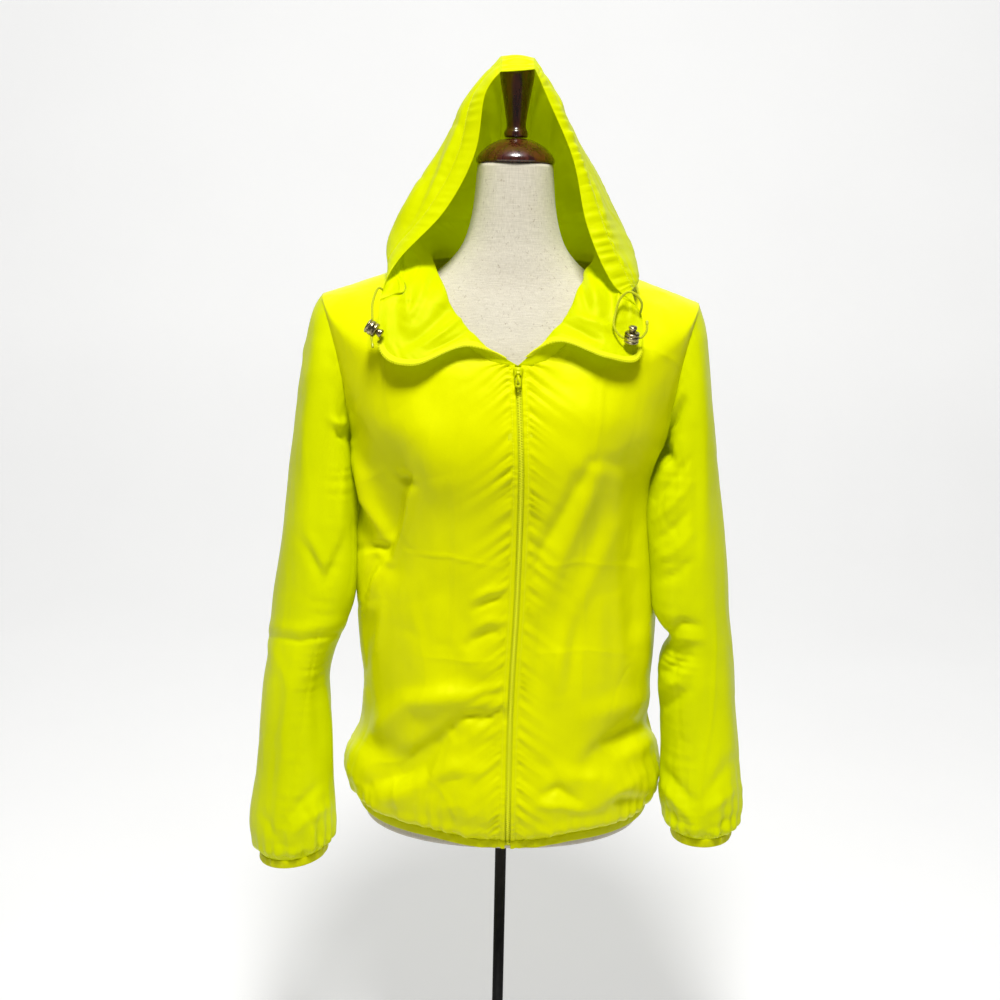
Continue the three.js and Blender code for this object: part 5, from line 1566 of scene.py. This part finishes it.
# %% Slider
SLIDER_ROW, HINGE_OUT = 18.6, 7.3
pin_at = zip_point("right", np.array([SLIDER_ROW]), np.array([0.0]))[0]
lower = zip_point("right", np.array([SLIDER_ROW - 2]), np.array([0.0]))[0]
lean = -math.atan2(pin_at[1] - lower[1], pin_at[2] - lower[2])
tilt = np.array(Matrix.Rotation(lean, 3, "X"))


def casting(name, outline, back, front, bevel, finish=slider_paint):
    """A flat outline in x and z given thickness along y, with rounded edges, set on the zip."""
    shape = bmesh.new()
    ring = [shape.verts.new((x, -back, z)) for x, z in outline]
    face = shape.faces.new(ring)
    pushed = bmesh.ops.extrude_face_region(shape, geom=[face])
    bmesh.ops.translate(
        shape, vec=(0, back - front, 0), verts=[v for v in pushed["geom"] if isinstance(v, bmesh.types.BMVert)]
    )
    bmesh.ops.recalc_face_normals(shape, faces=shape.faces)
    bmesh.ops.bevel(shape, geom=shape.edges[:], offset=bevel, segments=3, affect="EDGES", clamp_overlap=True)
    vertices = np.array([v.co[:] for v in shape.verts]) @ tilt.T + pin_at
    faces = [[v.index for v in f.verts] for f in shape.faces]
    shape.free()
    return mesh_object(name, vertices, faces, finish)


def arc(cx, cz, radius, start, end, steps):
    turns = [math.radians(start + (end - start) * k / steps) for k in range(steps + 1)]
    return [(cx + radius * math.cos(t), cz + radius * math.sin(t)) for t in turns]


shield = [(-3.6, -8), (3.6, -8), (3.9, -4), (4.4, -0.5), (5.0, 3)]
shield += arc(2.6, 4.2, 2.6, -20, 80, 6) + arc(-2.6, 4.2, 2.6, 100, 200, 6) + [(-5.0, 3), (-4.4, -0.5), (-3.9, -4)]
plate = casting("slider_body", shield, 1.0, 4.6, 0.5)
bridge_parts = []
for sign in (-1, 1):
    cheek_block, cheek_faces = rounded_block((1.2, 4.6, 4.0), 0.4, 3)
    spot = (cheek_block + [sign * 2.4, -6.4, 0]) @ tilt.T + pin_at
    bridge_parts.append((spot, cheek_faces))
pin_ring = []
for x in (-2.9, 2.9):
    for a in np.linspace(0, 2 * np.pi, 12, endpoint=False):
        pin_ring.append([x, -HINGE_OUT + 0.9 * math.cos(a), 0.9 * math.sin(a)])
pin_faces = [(i, (i + 1) % 12, 12 + (i + 1) % 12, 12 + i) for i in range(12)]
pin_faces += [tuple(range(12)), tuple(range(12, 24))]
bridge_parts.append((np.array(pin_ring) @ tilt.T + pin_at, pin_faces))
vertices, faces = [], []
for spots, part_faces in bridge_parts:
    faces += [[i + len(vertices) for i in face] for face in part_faces]
    vertices += list(spots)
bridge = mesh_object("slider_bridge", vertices, faces, slider_paint)
settle(plate, ["slider"])
settle(bridge)

tab_outline = [(-1.3, -0.4), (1.3, -0.4), (1.3, -3.4), (3.0, -5.4), (3.3, -12.6)]
tab_outline += arc(0, -11.4, 3.2, -20, -160, 10) + [(-3.3, -12.6), (-3.0, -5.4), (-1.3, -3.4)]
tab = casting("zip_tab", tab_outline, HINGE_OUT - 0.75, HINGE_OUT + 0.75, 0.3)
eye = bmesh.new()
bmesh.ops.create_cone(eye, cap_ends=True, segments=24, radius1=1.9, radius2=1.9, depth=2.6)
turn_eye = Matrix.Rotation(math.pi / 2, 3, "Y")
eye_spots = np.array([(turn_eye @ v.co)[:] for v in eye.verts]) + [0, -HINGE_OUT, 0]
eye_piece = mesh_object(
    "zip_tab_eye", eye_spots @ tilt.T + pin_at, [[v.index for v in f.verts] for f in eye.faces], slider_paint, False
)
eye.free()


def drill(piece, radius, place, axis):
    """Cuts a round hole through a piece, and keeps the result as its mesh."""
    drill_data = bmesh.new()
    wide = radius * MM
    bmesh.ops.create_cone(drill_data, cap_ends=True, segments=32, radius1=wide, radius2=wide, depth=0.06)
    mesh = bpy.data.meshes.new("drill")
    drill_data.to_mesh(mesh)
    drill_data.free()
    bit = bpy.data.objects.new("drill", mesh)
    bpy.context.scene.collection.objects.link(bit)
    bit.matrix_world = (
        Matrix.Translation(Vector(place) * MM) @ Vector((0, 0, 1)).rotation_difference(Vector(axis)).to_matrix().to_4x4()
    )
    cut = piece.modifiers.new("bore", "BOOLEAN")
    cut.operation, cut.object, cut.solver = "DIFFERENCE", bit, "EXACT"
    bpy.context.view_layer.update()
    done = bpy.data.meshes.new_from_object(piece.evaluated_get(bpy.context.evaluated_depsgraph_get()))
    piece.modifiers.clear()
    piece.data = done
    bpy.data.objects.remove(bit)


tab_way = tilt @ np.array([0, 1.0, 0])
drill(tab, 1.5, pin_at + tilt @ np.array([0, -HINGE_OUT, -10.6]), tab_way)
settle(tab, ["pull_tab"], "pull_tab")
settle(eye_piece, body="pull_tab")
print("slider at height", round(float(pin_at[2])), "mm, leaning", round(math.degrees(lean), 1), "degrees")

# %% [markdown]
# ## Drawcord and its locks
# The cord is a round braid. Each end leaves the hood's channel at the lower front corner and runs
# through a spring lock: a plated barrel with a hole across it and a plunger at its end. The right
# side stands up in a loop, the left hangs short. The routes repeat the points of the solids.

# %% Cord routes
CORD_RADIUS, CORD_STEP = 1.2, 1.2
LOCKS = {
    "left": {"hub": (-137.7, -109.8, 947.5), "axis": (0.86, -0.12, -0.5), "through": (0, -0.4, -0.9)},
    "right": {"hub": (116.6, -111.5, 943.5), "axis": (0.05, -0.3, 0.95), "through": (1, 0, 0)},
}
CORDS = {
    "left": {"mouth": 0.6, "before": [(-138.5, -94, 972)], "after": [(-136, -119, 930)]},
    "right": {
        "mouth": 0.05,
        "before": [
            (126.5, -98.5, 976), (121, -100, 984), (113, -99, 987), (105, -98.5, 980),
            (101, -101, 967), (99.5, -107, 953),
        ],
        "after": [(131, -110, 950), (131.5, -106, 959)],
    },
}
THROUGH_LOCK = (-9, -4.5, 0, 4.5, 9)
MOUTH_GAP, MOUTH_RUN = 0.8, 5
SOLID_COLUMNS, SOLID_ROWS = 12, 11  # steps of the hood's solid, which the mouth is measured on


def unit(v):
    return np.asarray(v, float) / np.linalg.norm(v)


def mouth(side, step):
    """Two points straight out of the hood's front edge, where the cord leaves its channel."""
    at = lambda column, row: hood_point(
        side, LAST_RIB * column / SOLID_COLUMNS, SEAM_STATION + (CROWN_STATION - SEAM_STATION) * row / SOLID_ROWS
    )
    low = math.floor(step)
    along = unit(at(0, low + 1) - at(0, low))
    edge = at(0, low) + (at(0, low + 1) - at(0, low)) * (step - low)
    inner = at(1, low) + (at(1, low + 1) - at(1, low)) * (step - low)
    out = edge - inner
    out = unit(out - along * (out @ along))
    return [edge + out * far for far in (MOUTH_GAP, MOUTH_RUN)]


def through(spots, per_stretch=40):
    """A smooth curve through points that doesn't overshoot where they are close together."""
    spots = np.array(spots, float)
    ends = [2 * spots[0] - spots[1], 2 * spots[-1] - spots[-2]]
    padded = np.concatenate([ends[:1], spots, ends[1:]])
    curve = []
    for a, b, c, d in zip(padded, padded[1:], padded[2:], padded[3:]):
        gaps = [max(1e-4, np.linalg.norm(q - p) ** 0.5) for p, q in ((a, b), (b, c), (c, d))]
        start = ((b - a) / gaps[0] - (c - a) / (gaps[0] + gaps[1]) + (c - b) / gaps[1]) * gaps[1]
        end = ((c - b) / gaps[1] - (d - b) / (gaps[1] + gaps[2]) + (d - c) / gaps[2]) * gaps[1]
        t = np.linspace(0, 1, per_stretch, endpoint=False)[:, None]
        curve.append(
            b + start * t + (3 * (c - b) - 2 * start - end) * t**2 + (2 * (b - c) + start + end) * t**3
        )
    return np.concatenate([*curve, spots[-1:]])


def evenly(line, step):
    walked = np.concatenate([[0], np.cumsum(np.linalg.norm(np.diff(line, axis=0), axis=1))])
    at = np.linspace(0, walked[-1], max(2, round(walked[-1] / step)) + 1)
    return np.stack([np.interp(at, walked, line[:, k]) for k in range(3)], -1), walked[-1]


def tube(name, line, radius, finish, sides=14):
    """A round tube along a line, with u round it and v along it for the braid."""
    along = np.gradient(line, axis=0)
    along /= np.linalg.norm(along, axis=1, keepdims=True)
    side_way = unit(np.cross(along[0], [0.3, 0.2, 1]))
    rings = []
    for at, way in zip(line, along):
        side_way = unit(side_way - way * (side_way @ way))
        up_way = np.cross(way, side_way)
        rings.append([
            at + radius * (side_way * math.cos(a) + up_way * math.sin(a))
            for a in np.linspace(0, 2 * math.pi, sides, endpoint=False)
        ])
    vertices = np.array(rings).reshape(-1, 3)
    faces = grid_faces(sides, len(line), closed=True)
    last = sides * (len(line) - 1)
    faces += [tuple(range(sides))[::-1], tuple(last + i for i in range(sides))]
    piece = mesh_object(name, vertices, faces, finish)
    uv = piece.data.uv_layers.new(name="UVMap")
    for face in piece.data.polygons:
        for loop, vertex in zip(face.loop_indices, face.vertices):
            ring, place = divmod(vertex, sides)
            around = 1.0 if place == 0 and max(face.vertices) % sides == sides - 1 else place / sides
            uv.data[loop].uv = (around * 3, ring * CORD_STEP / 2.6)
    return piece


def lathe(name, profile, finish, at=(0, 0, 0), axis=(0, 0, 1), segments=64):
    """A turned shape from (radius, height) pairs, closed where the radius is 0."""
    profile = np.array(profile, float)
    angle = np.linspace(0, 2 * np.pi, segments, endpoint=False)
    rings = points(
        profile[:, :1] * np.cos(angle), profile[:, :1] * np.sin(angle), profile[:, 1:] + 0 * angle[None]
    )
    turn = np.array(Vector((0, 0, 1)).rotation_difference(Vector(axis)).to_matrix())
    piece = mesh_object(
        name, rings.reshape(-1, 3) @ turn.T + at, grid_faces(segments, len(profile), closed=True), finish
    )
    tidy = bmesh.new()
    tidy.from_mesh(piece.data)
    bmesh.ops.remove_doubles(tidy, verts=tidy.verts, dist=1e-7)
    bmesh.ops.recalc_face_normals(tidy, faces=tidy.faces)
    tidy.to_mesh(piece.data)
    tidy.free()
    return piece


def rounded(profile, times=2):
    """Cuts the corners of a profile, keeping its two ends."""
    profile = np.array(profile, float)
    for _ in range(times):
        a, b = profile[:-1], profile[1:]
        cut = np.stack([a * 0.75 + b * 0.25, a * 0.25 + b * 0.75], 1).reshape(-1, 2)
        profile = np.concatenate([profile[:1], cut[1:-1], profile[-1:]])
    return profile


BARREL = [
    (0, -5.5), (4.2, -5.5), (6.6, -5.3), (7.3, -4.6), (7.4, -3.2), (6.7, -2.8), (6.7, -1.9), (7.4, -1.5),
    (7.4, 1.5), (6.7, 1.9), (6.7, 2.8), (7.4, 3.2), (7.3, 4.6), (6.6, 5.3), (4.2, 5.5), (0, 5.5),
]
PLUNGER = [
    (0, 5.9), (3.4, 5.9), (3.4, 8.6), (4.0, 8.8), (4.2, 9.4), (4.2, 10.9), (3.6, 11.6), (1.6, 11.8), (0, 11.8),
]
free_cords = {}
for side in ("left", "right"):
    lock, route = LOCKS[side], CORDS[side]
    hub, ahead = np.array(lock["hub"]), unit(lock["through"])
    spots = [*mouth(side, route["mouth"]), *route["before"]]
    spots += [hub + ahead * far for far in THROUGH_LOCK] + list(route["after"])
    line, length = evenly(through(spots), CORD_STEP)
    cord = settle(tube("cord_" + side, line, CORD_RADIUS, cord_braid), ["drawcord_" + side])
    tip = settle(lathe(
        "cord_tip_" + side, rounded([(0, 0), (1.45, 0), (1.5, 0.4), (1.5, 3.6), (1.2, 4.2), (0, 4.3)], 1),
        tip_plastic, line[-1] - unit(line[-1] - line[-3]) * 3.4, unit(line[-1] - line[-3]), 24,
    ))
    barrel = lathe("lock_barrel_" + side, rounded(BARREL, 1), lock_plate, hub, lock["axis"])
    drill(barrel, 1.7, hub, ahead)
    settle(barrel, ["cord_lock_" + side])
    plunger = settle(
        lathe("lock_plunger_" + side, rounded(PLUNGER, 1), lock_plate, hub, lock["axis"]), ["cord_plunger_" + side]
    )
    free_cords[side] = (cord, line, length, [tip, barrel, plunger])
    print(f"drawcord {side}: {length:.0f} mm free")

# %% [markdown]
# ## The dress form
# The torso is lofted through short rows like the jacket, then covered in linen. The rim below the
# hem is where the cover turns under. The cap and finial were turned on a lathe, so they are swept
# from a profile.

# %% Torso
FORM_SIDES, FORM_LEVELS = 112, 150
turn, v = np.meshgrid(
    np.linspace(0, 2 * np.pi, FORM_SIDES, endpoint=False), np.linspace(0, 1, FORM_LEVELS)
)
row = v * (len(FORM) - 1)
fuller = lambda sine: np.sign(sine) * np.abs(sine) ** FORM_FULLNESS
s, c = fuller(np.sin(turn)), fuller(np.cos(turn))
loft = points(
    c * FORM("wide", row), s * np.where(s < 0, -FORM("front", row), FORM("back", row)), FORM("z", row)
)
low_ring = loft[0] * [0.9, 0.9, 1]
torso_rows = np.concatenate([low_ring[None], loft])
torso_faces = grid_faces(FORM_SIDES, len(torso_rows), closed=True)
torso = mesh_object("linen_torso", torso_rows.reshape(-1, 3), torso_faces, linen_cover)
lids = bmesh.new()
lids.from_mesh(torso.data)
lids.verts.ensure_lookup_table()
lids.faces.new([lids.verts[i] for i in range(FORM_SIDES)][::-1])
lids.faces.new(lids.verts[-FORM_SIDES:])
bmesh.ops.recalc_face_normals(lids, faces=lids.faces)
lids.to_mesh(torso.data)
lids.free()
settle(torso, ["form_torso"])
print("torso:", round(loft[:, :, 0].max() * 2 / 10), "cm across, neck", round(loft[-1, :, 0].max() * 2), "mm")

# %% Cap, finial, pole and base
CAP_BASE, CAP_HEIGHT, WOOD_GAP = 1111.4, 26, 0.4
CAP = [(0, 0), (38.6, 0), (41, 1.2), (41.4, 3.4), (40.6, 6.6), (36.6, 12.2), (29, 18.8), (20, 23.6), (12, 25.6), (0, 26)]
FINIAL = [
    (0, 0), (11, 0), (12.6, 2), (12.6, 6), (10.4, 9.2), (10, 14), (11.2, 22), (12.7, 31), (15.4, 46),
    (17.6, 58), (18.2, 66), (17.4, 73), (13.5, 76.4), (0, 77),
]
settle(lathe("wood_cap", rounded(CAP) + [0, CAP_BASE], wood_polish, segments=96), ["neck_cap"])
settle(
    lathe("wood_finial", rounded(FINIAL) + [0, CAP_BASE + CAP_HEIGHT + WOOD_GAP], wood_polish, segments=80), ["finial"]
)
POLE = [(0, 12.4), (10.5, 12.4), (10.5, 14.4), (6.5, 17.5), (6.5, 395.6), (0, 395.6)]
BASE = [(0, 0), (148.5, 0), (150, 1.5), (150, 8.5), (148.6, 10.8), (146.5, 12), (0, 12)]
settle(lathe("iron_pole", POLE, iron_paint), ["pole"])
settle(lathe("iron_base", BASE, iron_paint, segments=128), ["base"])

# %% [markdown]
# ## What was cut flat
# Every panel is cloth with a known cut. The sizes are those of the rectangle that each piece is cut
# from, and its own area where the pattern is not a rectangle.

# %% Sheets and cords
CUTS = {
    # piece: flat width and length in metres, share of that rectangle, how it is held
    "front_panel_left": (0.290, 0.600, 0.83, "hung"),
    "front_panel_right": (0.290, 0.600, 0.78, "hung"),
    "back_panel": (0.540, 0.610, 0.83, "hung"),
    "sleeve_tube_left": (0.400, 0.590, 0.73, "hung"),
    "sleeve_tube_right": (0.390, 0.560, 0.73, "hung"),
    "collar_band": (0.460, 0.095, 0.90, "folded"),
    "hood_panel_left": (0.250, 0.290, 0.62, "draped"),
    "hood_panel_right": (0.250, 0.290, 0.62, "draped"),
    "hood_gusset_strip": (0.028, 0.390, 0.98, "draped"),
    "zip_tape_weave_left": (0.0110, 0.530, 0.98, "stretched"),
    "zip_tape_weave_right": (0.0110, 0.530, 0.98, "stretched"),
}
for name, (width, length, share, held) in CUTS.items():
    piece = bpy.data.objects[name]
    print(f"{name}: measured {area(piece):.4f} m2, cut {width * length * share:.4f} m2")
    width * length * share
for side, (cord, line, length, along_it) in free_cords.items():
    line[0] * MM
    length * MM
    line * MM

# %% [markdown]
# ## Floor and light
# A plain pale sweep stands behind, curved where floor meets wall so that no edge shows. The main
# light is a soft disc high in front, so the folds throw short soft shadows downwards. A weaker one
# behind the hood makes its thin cloth glow, and a dim white room fills the rest.

# %% Sweep
def paper():
    """Matt white paper, lit from behind above the floor so that the wall is bright and even."""
    sheet = Finish("sweep_paper", Roughness=0.95, Specular_IOR_Level=0.1, Emission_Strength=0.5)
    tone = sheet.noise(3, detail=2)
    sheet.feed("Base Color", sheet.blend(tone, (0.58, 0.58, 0.575), (0.62, 0.62, 0.615)))
    height = sheet.node("SeparateXYZ", {}, {"Vector": sheet.place()}, output=2)
    sheet.feed("Emission Color", sheet.blend(sheet.between(height, 0.0, 2.0), (0.88, 0.88, 0.88), (1.0, 1.0, 1.0)))
    return sheet.material


side_line = [(-2.2, 0.0), (1.6, 0.0)]
side_line += [(1.6 + 0.8 * math.sin(a), 0.8 - 0.8 * math.cos(a)) for a in np.linspace(0.1, math.pi / 2, 14)]
side_line += [(2.4, 3.6)]
sweep = mesh_object(
    "studio_sweep",
    [(x * 1000, y * 1000, z * 1000 - 1) for y, z in side_line for x in (-3.5, 3.5)],
    [(2 * i, 2 * i + 1, 2 * i + 3, 2 * i + 2) for i in range(len(side_line) - 1)],
    paper(),
)

# %% Lights
def softbox(name, at, aim, size, watts, colour=(1, 1, 1)):
    light = bpy.data.lights.new(name, "AREA")
    light.shape, light.size, light.energy, light.color = "DISK", size, watts, colour
    lamp = bpy.data.objects.new(name, light)
    bpy.context.scene.collection.objects.link(lamp)
    lamp.location = at
    lamp.rotation_euler = (Vector(aim) - Vector(at)).to_track_quat("-Z", "Y").to_euler()
    return lamp


softbox("key_light", (0.0, -1.3, 3.1), (0, 0, 0.75), 0.7, 92)
softbox("top_light", (0.0, 0.9, 2.8), (0, 0, 0.8), 1.6, 5)
world = bpy.data.worlds.new("white_room")
world.use_nodes = True
world.node_tree.nodes["Background"].inputs["Color"].default_value = (1, 1, 1, 1)
world.node_tree.nodes["Background"].inputs["Strength"].default_value = 0.12
bpy.context.scene.world = world
bpy.context.scene.view_settings.view_transform = "Standard"
